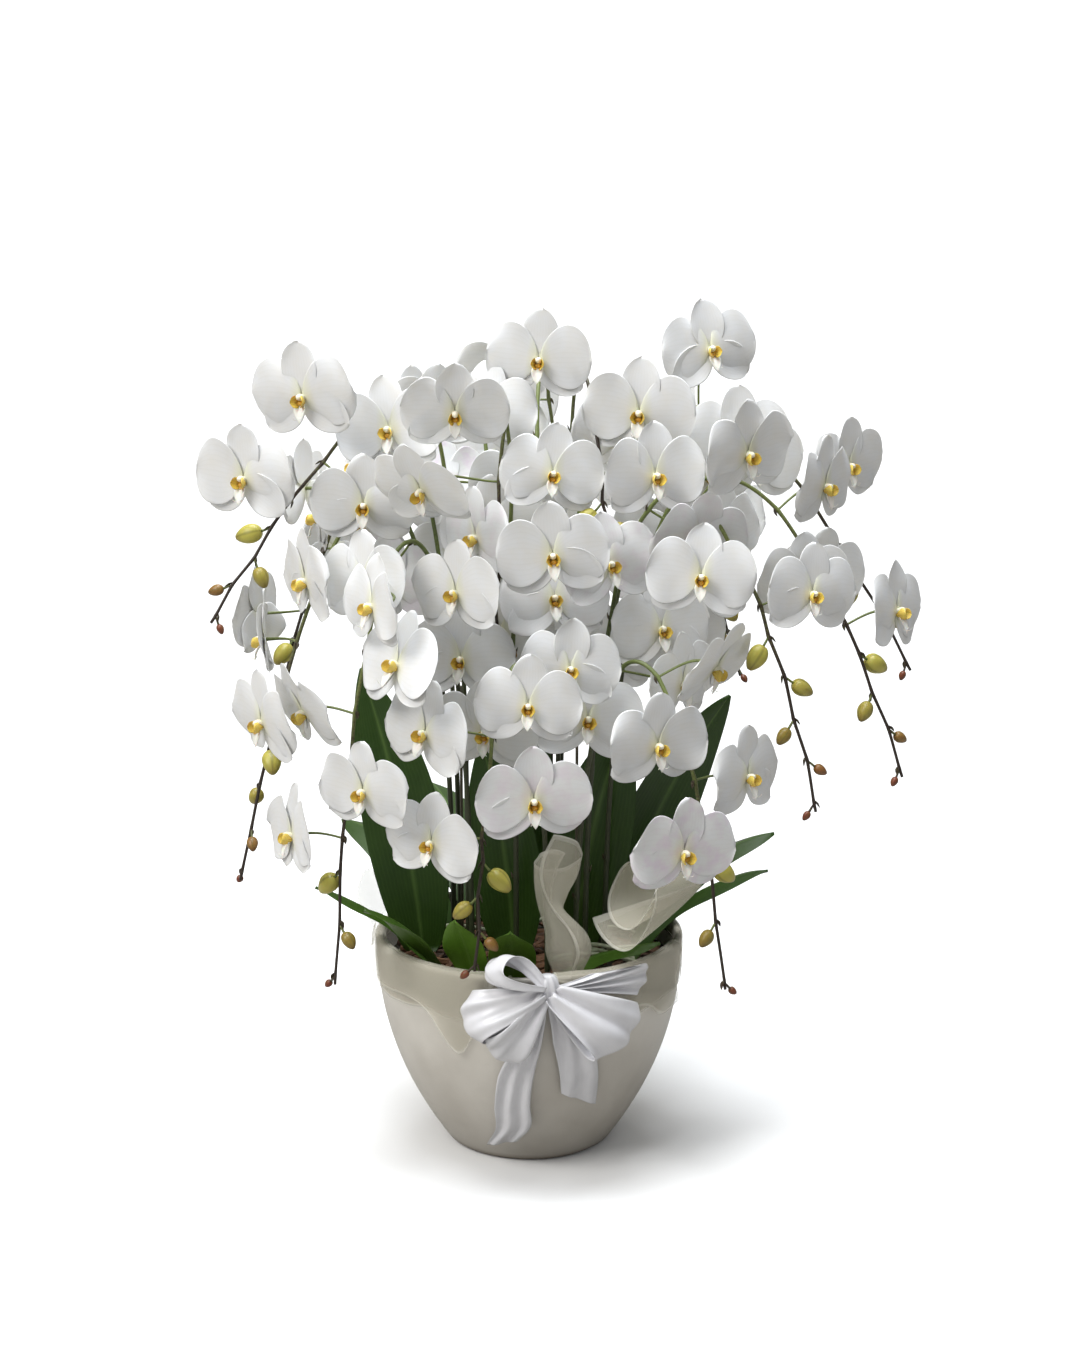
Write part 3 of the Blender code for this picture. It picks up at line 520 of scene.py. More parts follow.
def ball(middle, radii, rows, columns):
    """A closed ball with these radii along X, Y and Z, its rows from the bottom up."""
    rise = np.linspace(-np.pi / 2, np.pi / 2, rows + 2)[1:-1, None]
    turn = ring(columns)[None]
    shape = spread(np.cos(rise) * np.cos(turn), np.cos(rise) * np.sin(turn), np.sin(rise))
    return np.array(middle) + shape * np.array(radii)


# ---- stems, stalks and buds ----
def stalk_skins(flowers, settings):
    """The flowers' stalks: curves that leave the stem sideways and reach each flower from behind, a little
    thicker at the flower."""
    foot, side, at = (np.array([flower[key] for flower in flowers]) for key in ("foot", "side", "at"))
    side = side * np.sign((side * (at - foot)).sum(axis=1, keepdims=True))
    look = np.array([flower["axes"][:, 2] for flower in flowers])
    back = at - 0.0006 * look
    reach = np.linalg.norm(back - foot, axis=1)[:, None]
    line = bezier(foot, foot + 0.45 * reach * side, back - 0.42 * reach * look, back, 14)
    radii = settings.stalk_radius * (0.9 + 0.55 * np.linspace(0, 1, 14) ** 3)
    return [skin(tube(line, radii, np.cross(side, look)[:, None], 8), (0.55, 0, 0), 2)]


def bud_skins(number, stem):
    """The spike's buds, egg shaped with three soft ridges, on curved stalks. Their third tone is their size's
    share."""
    buds = wanted_buds(number, stem)
    foot, middle, way = (np.array([bud[k] for bud in buds]) for k in range(3))
    size = np.array([bud[3] for bud in buds])[:, None]
    tip, base = middle + 0.5 * size * way, middle - 0.5 * size * way
    across = unit(np.cross(way, [0.3, 0.2, 1.0]))[:, None]
    u = np.linspace(0.03, 0.97, 16)[None, :, None]
    line = base[:, None] + u * (tip - base)[:, None]
    body = tube(line, np.ones((1, 16)), across, 18)
    turn = ring(18)[None, None]
    ridge = 1 + 0.06 * np.cos(3 * turn) * np.sin(np.pi * u)
    shape = np.sin(np.pi * u**0.80) ** 0.50 * (1 - 0.16 * u**3) * ridge
    girth = 0.345 * size[:, None] * shape
    body = line[:, :, None] + (body - line[:, :, None]) * girth[..., None]
    grown = np.clip(size / BUD_LENGTH, 0, 1)[:, :, None]
    middle = foot + 0.5 * (base - foot) + [0, 0, 0.002]
    droop = bezier(foot, middle, base - 0.25 * size * way, base + 0.06 * size * way, 9)
    radii = 0.0011 * np.linspace(0.9, 1.2, 9)
    return [
        skin(body, spread(u, turn / (2 * np.pi), grown), 3),
        skin(tube(droop, radii, across, 6), spread(0.55 + 0.4 * (1 - grown), 0, 0), 2),
    ]


def stem_line(number, stem):
    """The stem with a small zigzag: it steps towards the side of each flower and bud where the stalk
    leaves."""
    shares = np.concatenate([flower_shares(number), bud_shares(number)])
    s = np.linspace(0, 1, len(stem))
    way = unit(np.gradient(stem, axis=0))
    side = unit(np.cross(way, compass(SPIKES[number].face)))
    order = np.arange(len(shares))
    order[SPIKES[number].flowers:] -= SPIKES[number].flowers
    hands = np.where((order + number) % 2, 1.0, -1.0)
    zigzag = np.interp(s, np.concatenate([[0, shares[0] - 0.06], shares]), np.concatenate([[0, 0], hands]))
    return stem + 0.0016 * zigzag[:, None] * side


def stem_skins(number, stem, settings):
    """The stem, which thins to its tip, with a ring at each joint and a small scale leaf under each stalk."""
    line = stem_line(number, stem)
    s = np.linspace(0, 1, len(line))
    joints = np.concatenate([[0.12, 0.24, 0.36], flower_shares(number), bud_shares(number)])
    rings = np.exp(-(((s[:, None] - joints) / 0.006) ** 2)).sum(axis=1)
    radii = settings.stem_radius * (1 - 0.5 * s) * (1 + 0.18 * rings)
    plane = np.cross(compass(SPIKES[number].azimuth), [0, 0, 1.0])
    skins = [skin(tube(line[None], radii, plane, 10), spread(s[:, None], 0, 0)[None], 2)]
    way = unit(np.gradient(line, axis=0))
    for i, share in enumerate(joints):
        k = int(share * (len(line) - 1))
        out = (1 if (i + number) % 2 else -1) * unit(np.cross(way[k], compass(SPIKES[number].face)))
        scale = blades(np.zeros((1, 4)), 0.0085, 0.0026, 0.35, 0.8, 0.15, 0.5, 0, 0, 5, 8, 0.0004)[0]
        scale = turned_to(scale, way[k] + 0.32 * out, out - 0.32 * way[k])
        skins.append(skin(line[k] + scale + 0.0012 * out, (0.8, 0, 0), 2))
    return skins


# ---- leaves ----
def leaf_skin(number, thickness, rows=44, columns=28):
    """A leaf as a closed shape on its middle surface: each side folds up from the midrib, which stands out
    below, the edges wave a little and the tip is rounded."""
    t = np.linspace(0, 1, rows)
    line, half, wide, up = leaf_frame(number, t)
    half = np.maximum(half, 0.0012)[:, None]
    turn = ring(columns)[None]
    v, side = -np.cos(turn), np.sin(turn)
    u = t[:, None]
    fold = 0.17 * (np.sqrt(v**2 + 0.012) - 0.11)
    wave = 0.0016 * v**2 * np.sin(2 * np.pi * (1.6 * u + 0.13 * number) + np.sign(v) * 0.8)
    rib = np.exp(-((v / 0.07) ** 2))
    thick = thickness / 2 * (0.45 + 0.55 * (1 - v**2)) * np.where(side < 0, 1 + 0.8 * rib, 1 - 0.7 * rib)
    lift = (fold * half + wave + thick * side)[..., None]
    grid = line[:, None] + (v * half)[..., None] * wide[:, None] + lift * up[:, None]
    return skin(grid[None], spread(u, v, YOUNG_LEAVES.get(number, 0.0))[None])


# ---- the pot and what fills it ----
def lathe(radii, heights, columns, wobble=0.0):
    """A closed shape turned about Z, from its upper middle out, down and back to its lower middle. Its radius
    varies by wobble in two slow waves, as thrown clay does."""
    a = -ring(columns)[None]
    r = np.array(radii)[:, None] + 0 * a
    r = r + wobble * np.sin(2 * a + 9 * np.array(heights)[:, None]) + 0.5 * wobble * np.sin(5 * a)
    z = np.array(heights)[:, None] + 0 * a
    return np.stack([r * np.sin(a), -r * np.cos(a), z], -1)[None]


def pot_skin():
    """The pot: its bowl, a rim rounded to half a circle, its rounded wall and a foot ring round a shallow
    recess."""
    floor, base, half = 0.009, POT_BASE_RADIUS, POT_WALL / 2
    low, high = floor + 0.010, POT_HEIGHT - half
    inside = np.linspace(low, high, 40)
    corner = pot_radius(low) - POT_WALL
    turn = np.linspace(0, np.pi, 12)[1:-1]
    outside = high + (0.003 - high) * np.linspace(0, 1, 40)
    profile = np.concatenate([
        [(0.002, floor), (0.03, floor), (corner - 0.008, floor), (corner - 0.002, floor + 0.004)],
        np.stack([pot_radius(inside) - POT_WALL, inside], 1),
        np.stack([POT_RIM_RADIUS - half - half * np.cos(turn), high + half * np.sin(turn)], 1),
        np.stack([pot_radius(outside), outside], 1),
        [(base - 0.0005, 0.0012), (base - 0.0022, 0.0), (base - 0.008, 0.0), (base - 0.0095, 0.0014)],
        [(0.02, 0.0018), (0.002, 0.0018)],
    ])
    return skin(lathe(*profile.T, 192, 0.0003))


def medium_skins(rng):
    """The growing medium: a low mound of moss, chips of bark bedded in it and silvery roots that run over
    it."""
    wall = float(pot_radius(SOIL_TOP)) - POT_WALL - 0.0012
    r = np.concatenate([np.linspace(0.002, wall, 26), [wall - 0.001, wall - 0.006, 0.004]])
    mound = 0.006 * np.cos(np.linspace(0, np.pi / 2, 26)) - 0.004
    h = SOIL_TOP + np.concatenate([mound, [-0.012, -0.030, -0.030]])
    bed = lathe(r, h, 96)
    x, y = bed[..., 0], bed[..., 1]
    lumps = np.sin(x * 260) * np.sin(y * 240 + 1) + 0.6 * np.sin(x * 610 + y * 480)
    bed[:, :26, :, 2] += 0.0011 * lumps[:, :26]
    skins = [skin(bed, (0, 0, 0), 0)]
    count = 210
    k = np.arange(count) + 0.5
    away = (wall - 0.013) * np.sqrt(k / count)
    turn = GOLDEN_TURN * k + rng.uniform(-0.2, 0.2, count)
    middle = spread(away * np.cos(turn), away * np.sin(turn), SOIL_TOP + rng.uniform(-0.001, 0.006, count))
    chip = ball((0, 0, 0), (1, 1, 1), 3, 7)[None] * np.ones((count, 1, 1, 1))
    chip = chip * (1 + 0.22 * rng.uniform(-1, 1, (count, 3, 7, 1)))
    chip = np.sign(chip) * np.abs(chip) ** 0.75
    ranges = ((0.007, 0.014), (0.004, 0.008), (0.002, 0.0045))
    chip = chip * spread(*(rng.uniform(*span, count) for span in ranges))[:, None, None]
    turn, lean = rng.uniform(0, np.pi, count), rng.uniform(-0.5, 0.5, count)
    spin = turns(2, turn) @ turns(1, lean)
    chip = middle[:, None, None] + np.einsum("nij,nrcj->nrci", spin, chip)
    skins.append(skin(chip, spread(rng.uniform(0, 1, (count, 1, 1)), 0, 0), 1))
    count = 14
    a = rng.uniform(0, 2 * np.pi, count)
    start = spread(0.045 * np.cos(a), 0.045 * np.sin(a), SOIL_TOP + 0.004)
    b = a + rng.uniform(-0.9, 0.9, count)
    end = spread((wall - 0.012) * np.cos(b), (wall - 0.012) * np.sin(b), SOIL_TOP + 0.001)
    rise = rng.uniform(0.010, 0.026, count)[:, None] * [0, 0, 1]
    bow = rng.uniform(-0.03, 0.03, (count, 1)) * spread(-np.sin(a), np.cos(a), 0)
    run = end - start
    line = bezier(start, start + 0.3 * run + rise + bow, end + rise * 0.7 - 0.2 * run, end, 24)
    share = np.linspace(0, 1, 24)
    roots = tube(line, ROOT_RADIUS * (1 - 0.35 * share**2), np.array([0.1, 0.2, 1.0]), 9)
    return skins + [skin(roots, spread(share[None, :, None], 0, 0), 2)]


def stake_skins(boxes):
    """Wire stakes that stand where the frame's do, with rounded tops and a small clip ring near the top of
    each."""
    skins = []
    for low, high in boxes:
        x, y = (np.array(low) + np.array(high))[:2] / 2
        foot, top = low[2], high[2]
        z = [foot, foot + 0.0005, *np.linspace(foot + 0.01, top - 0.0015, 8), top - 0.0005, top]
        r = STAKE_RADIUS * np.array([0.9, *np.ones(9), 0.8, 0.35])
        skins.append(skin(tube(spread(x, y, z)[None], r, np.array([1.0, 0, 0]), 12), (0.2, 0, 0)))
        turn = np.linspace(0.25, 2 * np.pi - 0.25, 28)
        clip = spread(x + CLIP_RADIUS * np.cos(turn), y + CLIP_RADIUS * np.sin(turn), top - 0.035)
        skins.append(skin(tube(clip[None], 0.0009, np.array([0, 0, 1.0]), 8), (0.9, 0, 0)))
    return skins


# ---- the net wrap ----
def over_rim(azimuth, down, out):
    """Cloth over the pot's wall. down is the length of cloth from the top of the rim, outside the pot where
    positive and inside where negative, and out is how far it lies off the glaze: half a circle over the rim,
    then the wall."""
    bend = POT_WALL / 2 + out
    arc = np.clip(down / bend, -np.pi / 2, np.pi / 2)
    past = np.abs(down - arc * bend)
    z = POT_HEIGHT - POT_WALL / 2 + bend * np.cos(arc) - past
    r = POT_RIM_RADIUS - POT_WALL / 2 + bend * np.sin(arc)
    r = r + np.where(past > 0, pot_radius(z) - POT_RIM_RADIUS, 0)
    return around(azimuth, r, z)


def collar_grid():
    """The net over the rim, open behind the bow. Its hem rises and falls in slow waves, and soft pleats run
    down it."""
    a = np.linspace(9, 351, 420)[None]
    s = np.linspace(0, 1, 34)[:, None]
    hem = 0.052 + 0.005 * np.sin(np.radians(3 * a + 40)) + 0.0015 * np.sin(np.radians(11 * a))
    down = -0.018 + s * (hem + 0.018)
    pleat = 0.5 + 0.5 * np.sin(np.radians(23 * a + 60 * np.sin(np.radians(2 * a))))
    return over_rim(a, down, 0.0006 + 0.0013 * pleat * s**1.5)


def flap_grid():
    """The rounded flap left of the bow: it lies over the rim and hangs in a corner a little left of the
    front, with soft folds that fan out from the knot."""
    k = np.linspace(0, 1, 150)[None]
    a = -98 + 86 * k
    s = np.linspace(0, 1, 44)[:, None]
    hang = 0.040 + 0.010 * k + 0.043 * np.exp(-(((a + 26) / 8.5) ** 2)) + 0.002 * np.sin(np.radians(9 * a))
    end = np.sqrt(np.clip(1 - k**14, 0, 1))
    top = -0.010 + 0.026 * (1 - end)
    down = top + s * (hang * (0.25 + 0.75 * end) - top)
    fan = np.arctan2(down - 0.004, np.radians(KNOT_AZIMUTH - a) * POT_RIM_RADIUS)
    out = 1.25 * WRAP_LAYER + 0.0016 * np.sin(13 * fan) * np.clip((KNOT_AZIMUTH - a) / 60, 0, 1) * s
    curl = 0.004 * s**6 * (0.5 + 0.5 * np.sin(np.radians(7 * a)))
    return over_rim(a, down, out + curl)


def pleats_grid():
    """The gathered net right of the bow: pleats that fan out from the knot and widen to the hem."""
    k = np.linspace(0, 1, 170)[None]
    a = 9 + 62 * k
    s = np.linspace(0, 1, 44)[:, None]
    down = -0.012 + s * (0.040 + 0.046 * k + 0.004 * np.sin(np.radians(14 * a)))
    fan = np.arctan2(down - 0.006, np.radians(a - KNOT_AZIMUTH) * POT_RIM_RADIUS)
    fold = np.sin(19 * fan + 1.2) * (0.0004 + 0.0019 * np.clip(k * 1.6, 0, 1)) * np.clip(s * 3, 0, 1)
    return over_rim(a, down, 1.3 * WRAP_LAYER + fold)


def flare_grid():
    """The net's edge that stands out and up from the rim at the left, highest in its middle."""
    k = np.linspace(0, 1, 60)[None]
    a = -120 + 38 * k
    s = np.linspace(0, 1, 30)[:, None]
    rise = 0.047 * np.sin(np.pi * (0.12 + 0.80 * k)) ** 0.8
    lean = 0.42 + 0.10 * np.sin(np.pi * 3 * k)
    r = POT_RIM_RADIUS + 0.001 + lean * rise * s**1.3 + 0.0018 * np.sin(2 * np.pi * 2.5 * k) * s
    z = POT_HEIGHT + 0.0028 + rise * s
    return around(a, r, z)


def smooth_path(points, count):
    """Points along a smooth curve near these: each span blends its two neighbours' parabolas."""
    p = np.asarray(points, float)
    p = np.concatenate([[2 * p[0] - p[1]], p, [2 * p[-1] - p[-2]]])
    t = np.linspace(0, len(p) - 3 - 1e-9, count)
    k, f = t.astype(int), (t - t.astype(int))[:, None]
    a, b, c, d = p[k], p[k + 1], p[k + 2], p[k + 3]
    return 0.5 * (2 * b + (c - a) * f + (2 * a - 5 * b + 4 * c - d) * f**2 + (3 * b - a - 3 * c + d) * f**3)


def curl_grid():
    """A strip of net that stands in the pot, wound a little over once about an upright line: wide at its lip,
    pinched in its middle, full again below and drawn together at its foot. Its radius and its middle are
    smooth curves of the height, and its lip slopes and ripples."""
    s = np.linspace(0, 1, 70)
    radius, x = smooth_path([(0.008, 0.036), (0.017, 0.036), (0.025, 0.036), (0.022, 0.033), (0.013, 0.022),
                             (0.018, 0.021), (0.025, 0.024), (0.027, 0.026)], 70).T
    k = np.linspace(0, 1, 96)[None]
    turn = np.radians(-95 + 395 * k + 26 * np.sin(2 * np.pi * s[:, None]))
    wound = radius[:, None] * (1 - 0.40 * k + 0.05 * np.sin(5 * turn))
    z = SOIL_TOP + 0.004 + s[:, None] * (0.138 - 0.018 * np.sin(turn) - 0.018 * k)
    y = -0.113 + 0.004 * s[:, None]
    return np.stack([x[:, None] + wound * np.cos(turn), y + 0.80 * wound * np.sin(turn), z], -1)


def cornet_grid():
    """A corner of net rolled to a cornet: its mouth looks left and forwards, one edge winds inwards, and its
    point reaches right above the rim."""
    mouth = np.array([0.088, -0.122, POT_HEIGHT + 0.064])
    point = np.array([0.163, -0.080, POT_HEIGHT + 0.072])
    axis = unit(point - mouth)
    side = unit(np.cross(axis, [0, 0, 1.0]))
    up = np.cross(side, axis)
    k = np.linspace(0, 1, 130)
    turn = np.radians(-150 + 520 * k)[None, :, None]
    s = np.linspace(0, 1, 44)[:, None, None]
    wide = (0.041 * (1 - s) ** 0.85 + 0.004) * (1 - 0.55 * k[None, :, None] ** 1.2)
    wide = wide * (1 + 0.04 * np.sin(4 * turn))
    back = 0.014 * np.cos(turn - 1.2) * (1 - s) + 0.014 * k[None, :, None] * (1 - s)
    around = np.cos(turn) * side + np.sin(turn) * up
    return mouth + (s + 0 * turn) * (point - mouth) + around * wide + back * axis


# ---- the bow ----
def lay(across, height, out):
    """Points on the pot's front: this far round it from the knot along the rim, at this height and this far
    out."""
    return on_pot(KNOT_AZIMUTH + np.degrees(across / POT_RIM_RADIUS), height, out)


def ribbon_loop(way, length, width, bulge, twist, folds, base, seed, rows=72, columns=36):
    """A loop of ribbon: s runs out from the knot and back, t runs across it. It reaches length * sin(pi s)
    along its way, less at its edges, its two runs bow apart by bulge * sin(2 pi s), and its width is drawn
    together at the knot in folds that run out along it. twist turns the loop about its own way, so that one
    looks through it."""
    s = np.linspace(0.015, 0.985, rows)[:, None]
    t = np.linspace(-1, 1, columns)[None]
    reach = np.sin(np.pi * s)
    along = length * reach * (1 - 0.17 * t**2 * reach + 0.05 * t * reach)
    spread = width / 2 * (0.20 + 0.80 * reach**0.75) * t
    crease = 0.0040 * (1 - 0.62 * reach) * np.cos(np.pi * folds * t + seed + 1.2 * s)
    crease += 0.0022 * reach * np.sin(2.3 * np.pi * t + 5 * s + 2 * seed)
    crease += 0.0011 * np.sin(8 * t + 11 * s + seed) * np.sin(9 * s - 4 * t + 3 * seed)
    apart = -bulge / 2 * np.sin(2 * np.pi * s) + crease
    c, d = math.cos(math.radians(twist)), math.sin(math.radians(twist))
    over, out = spread * c + apart * d, base + apart * c - spread * d
    c, d = math.cos(math.radians(way)), math.sin(math.radians(way))
    return lay(along * c - over * d, KNOT_HEIGHT + along * d + over * c, out)


def ribbon_tail(path, width, out, seed, slant, rows=80, columns=30):
    """A tail of ribbon that hangs on the pot along a smooth path of (azimuth, height), with two soft folds
    down it and an end cut at a slant."""
    line = smooth_path(path, rows)
    s = np.linspace(0, 1, rows)[:, None]
    t = np.linspace(-1, 1, columns)[None]
    height = line[:, 1:] + slant * t * s**3
    half = width / 2 * (0.42 + 0.58 * np.clip(s * 2.5, 0, 1) ** 0.8)
    wave = 0.0022 * np.sin(2.2 * np.pi * t * (1.2 - 0.4 * s) + seed + 3 * s) + 0.0015 * np.sin(9 * s + seed)
    azimuth = line[:, :1] + np.degrees(half * t / pot_radius(height))
    return on_pot(azimuth, height, out + wave)


def fan_grid():
    """The flat fan of satin between the knot and the rim at the right, its folds running out from the
    knot."""
    s = np.linspace(0, 1, 60)[:, None]
    t = np.linspace(-1, 1, 50)[None]
    reach = 0.012 + 0.088 * s * (1 - 0.10 * t**2)
    angle = np.radians(6 + 24 * t * (0.65 + 0.35 * s))
    fold = 0.0030 * np.sin(3.6 * np.pi * t + 0.8) * (1 - 0.45 * s)
    across, height = reach * np.cos(angle), KNOT_HEIGHT - 0.004 + reach * np.sin(angle) * 0.62
    return lay(across, np.minimum(height, POT_HEIGHT + 0.004), 0.0105 + fold)


def knot_skin():
    """The knot: a short band gathered at both ends, with folds winding down it."""
    u = np.linspace(0.04, 0.96, 22)[None, :, None]
    turn = ring(44)[None, None]
    fold = 1 + 0.085 * np.cos(9 * turn + 2.5 * u)
    girth = np.sin(np.pi * u) ** 0.42 * fold * (1 - 0.14 * np.sin(np.pi * u))
    deep, wide = 0.0098 * girth * np.cos(turn), 0.0125 * girth * np.sin(turn)
    z = 0.028 * (u - 0.5) + 0 * turn
    ahead = compass(KNOT_AZIMUTH)
    across = np.array([-ahead[1], ahead[0], 0])
    middle = on_pot(KNOT_AZIMUTH, KNOT_HEIGHT, 0.017)
    grid = middle + deep[..., None] * ahead + wide[..., None] * across + z[..., None] * np.array([0, 0, 1.0])
    return skin(grid, spread(u, turn / (2 * np.pi), 0))


# ---- materials ----
COLOURS = {"out": 2, "data_type": "RGBA"}  # a Mix node's settings when it mixes colours
TIMES = {"operation": "MULTIPLY"}
TIMES_PLUS = {"operation": "MULTIPLY_ADD"}
SINE = {"operation": "SINE"}


def paint(code):
    """The linear colour of an sRGB hex code."""
    c = np.array([int(code[k:k + 2], 16) for k in (1, 3, 5)]) / 255
    c = np.where(c <= 0.04045, c / 12.92, ((c + 0.055) / 1.055) ** 2.4)
    return (*c.tolist(), 1.0)


def feed(tree, node, feeds):
    """Sets inputs of a node, each from a socket, a hex colour or another value."""
    for key, value in feeds.items():
        if isinstance(value, bpy.types.NodeSocket):
            tree.links.new(value, node.inputs[key])
        else:
            node.inputs[key].default_value = paint(value) if isinstance(value, str) else value


def add(tree, kind, feeds=(), out=0, stops=(), **settings):
    """Adds a node with these inputs, settings and colour stops, and gives its output of this place or name,
    or all of its outputs where out is None."""
    made = tree.nodes.new("ShaderNode" + kind)
    for name, value in settings.items():
        setattr(made, name, value)
    feed(tree, made, dict(feeds))
    if stops:
        ramp = made.color_ramp.elements
        while len(ramp) < len(stops):
            ramp.new(0.5)
        for element, (place, code) in zip(ramp, stops):
            element.position, element.color = place, paint(code)
    return made.outputs if out is None else made.outputs[out]


def finish(name, roughness, **sockets):
    """A new material with these values on its shader's own sockets, and its tree."""
    made = bpy.data.materials.new(name)
    made.use_nodes = True
    values = {key.replace("_", " "): value for key, value in sockets.items()}
    feed(made.node_tree, made.node_tree.nodes["Principled BSDF"], {"Roughness": roughness, **values})
    return made, made.node_tree


def dress(made, base, coats, relief=None, strength=0.0, depth=0.0, **feeds):
    """The material with its colour laid in coats: each is a share and the colour that covers that share of
    what is below it. relief lifts the surface by up to depth in metres."""
    tree = made.node_tree
    for share, colour in coats:
        base = add(tree, "Mix", {0: share, 6: base, 7: colour}, **COLOURS)
    if relief:
        feeds["Normal"] = add(tree, "Bump", {"Height": relief, "Strength": strength, "Distance": depth})
    feed(tree, tree.nodes["Principled BSDF"], {"Base Color": base, **feeds})
    return made


def read_tone(tree):
    """The three numbers of the pattern attribute, as sockets."""
    return add(tree, "SeparateXYZ", {0: add(tree, "Attribute", out="Vector", attribute_name="tone")}, None)


def read_place(tree):
    """The place on the object in metres, as a socket."""
    return add(tree, "TexCoord", out="Object")


def petal_material(settings):
    """Moth orchid petal, waxy and a little translucent: white with faint veins that run from the middle out,
    greenish at the foot, and a lilac blush on a few."""
    made, tree = finish("moth orchid petal", 0.52, Subsurface_Weight=0.12, Subsurface_Scale=0.0025,
                        Subsurface_Radius=(1.0, 0.9, 0.75))
    along, across, kind = read_tone(tree)
    cloud = add(tree, "TexNoise", {"Vector": read_place(tree), "Scale": 70.0, "Detail": 3.0})
    lines = add(tree, "Math", {0: across, 1: 40.0}, **TIMES)
    vein = add(tree, "Math", {0: add(tree, "Math", {0: cloud, 1: 3.0, 2: lines}, **TIMES_PLUS)}, **SINE)
    fade = add(tree, "MapRange", {0: vein, 1: 0.20, 2: 1.0, 3: 0.0, 4: 0.07})
    foot = add(tree, "MapRange", {0: along, 1: 0.02, 2: 0.24, 3: 0.55, 4: 0.0})
    some = add(tree, "MapRange", {0: kind, 1: 0.80, 2: 1.0, 3: 0.0, 4: 0.55})
    patch = add(tree, "MapRange", {0: cloud, 1: 0.45, 2: 0.70})
    blush = add(tree, "Math", {0: some, 1: patch}, **TIMES)
    coats = [(cloud, "#DFDCD6"), (fade, "#C2C3B8"), (foot, "#CFD09A"), (blush, "#D9BFDD")]
    return dress(made, settings.petal_colour, coats, vein, 0.04, 0.0002)


def lip_material(settings):
    """Moth orchid lip: a white middle lobe, yellow side lobes with brown bars, and a spotted golden callus.
    The third tone is 0 for the white lobe, a half for the yellow ones and 1 for the callus."""
    made, tree = finish("moth orchid lip", 0.42, Subsurface_Weight=0.12, Subsurface_Scale=0.002)
    along, across, kind = read_tone(tree)
    spots = add(tree, "TexVoronoi", {"Vector": read_place(tree), "Scale": 900.0})
    parts = add(tree, "ValToRGB", {0: kind}, stops=[
        (0.0, "#F1EEE6"), (0.22, "#F0E8C4"), (0.48, settings.lip_colour), (0.62, "#D9B24A"),
        (0.95, "#CC9C3A"),
    ])
    bars = add(tree, "Math", {0: add(tree, "Math", {0: across, 1: 13.0}, **TIMES)}, **SINE)
    low = add(tree, "MapRange", {0: along, 1: 0.25, 2: 0.62, 3: 1.0, 4: 0.0})
    bar = add(tree, "Math", {0: add(tree, "MapRange", {0: bars, 1: 0.2, 2: 0.9}), 1: low}, **TIMES)
    yellow = add(tree, "MapRange", {0: kind, 1: 0.3, 2: 0.5, 3: 0.10, 4: 0.62})
    dot = add(tree, "MapRange", {0: spots, 1: 0.35, 2: 0.20, 3: 0.0, 4: 0.6})
    coats = [(add(tree, "Math", {0: share, 1: yellow}, **TIMES), colour)
             for share, colour in ((bar, "#AE6C2C"), (dot, "#8E3A18"))]
    return dress(made, parts, coats, spots, 0.2, 0.0003)


def stem_material():
    """Orchid stem, green below and at the stalks, turning brown-purple to the tip, with fine mottling: a
    satin skin. The first tone runs from 0 at the foot to 1 at the tip, and stalks and scale leaves have their
    own."""
    made, tree = finish("orchid stem", 0.45)
    mottle = add(tree, "TexNoise", {"Vector": read_place(tree), "Scale": 420.0, "Detail": 3.0})
    shifted = add(tree, "Math", {0: mottle, 1: 0.28, 2: read_tone(tree)[0]}, **TIMES_PLUS)
    colour = add(tree, "ValToRGB", {0: shifted}, stops=[
        (0.10, "#2E3620"), (0.45, "#3A3D26"), (0.62, "#5C6836"), (0.78, "#6B743C"), (0.94, "#3A2E20"),
        (1.0, "#2C2016"),
    ])
    return dress(made, colour, [], mottle, 0.25, 0.0004)


def bud_material():
    """Orchid bud, waxy: yellow-green when large, olive-brown when smaller and red-brown at the smallest,
    darker at its tip and along the seams of the sepals. The third tone is the bud's size."""
    made, tree = finish("orchid bud", 0.40, Subsurface_Weight=0.08, Subsurface_Scale=0.003)
    along, turn, grown = read_tone(tree)
    mottle = add(tree, "TexNoise", {"Vector": read_place(tree), "Scale": 260.0, "Detail": 3.0})
    mixed = add(tree, "Math", {0: mottle, 1: 0.16, 2: grown}, **TIMES_PLUS)
    colour = add(tree, "ValToRGB", {0: mixed}, stops=[
        (0.40, "#6A2F1E"), (0.58, "#7E4A26"), (0.76, "#84702B"), (1.0, "#B2A94A"),
    ])
    thirds = add(tree, "Math", {0: turn, 1: 18.85}, **TIMES)  # a wave of three turns round the bud
    seam = add(tree, "Math", {0: thirds}, operation="COSINE")
    seam = add(tree, "MapRange", {0: seam, 1: -0.80, 2: -1.0, 3: 0.0, 4: 0.45})
    tip = add(tree, "MapRange", {0: along, 1: 0.66, 2: 1.0, 3: 0.0, 4: 0.55})
    return dress(made, colour, [(seam, "#5E5A2C"), (tip, "#57371F")], mottle, 0.15, 0.0005)


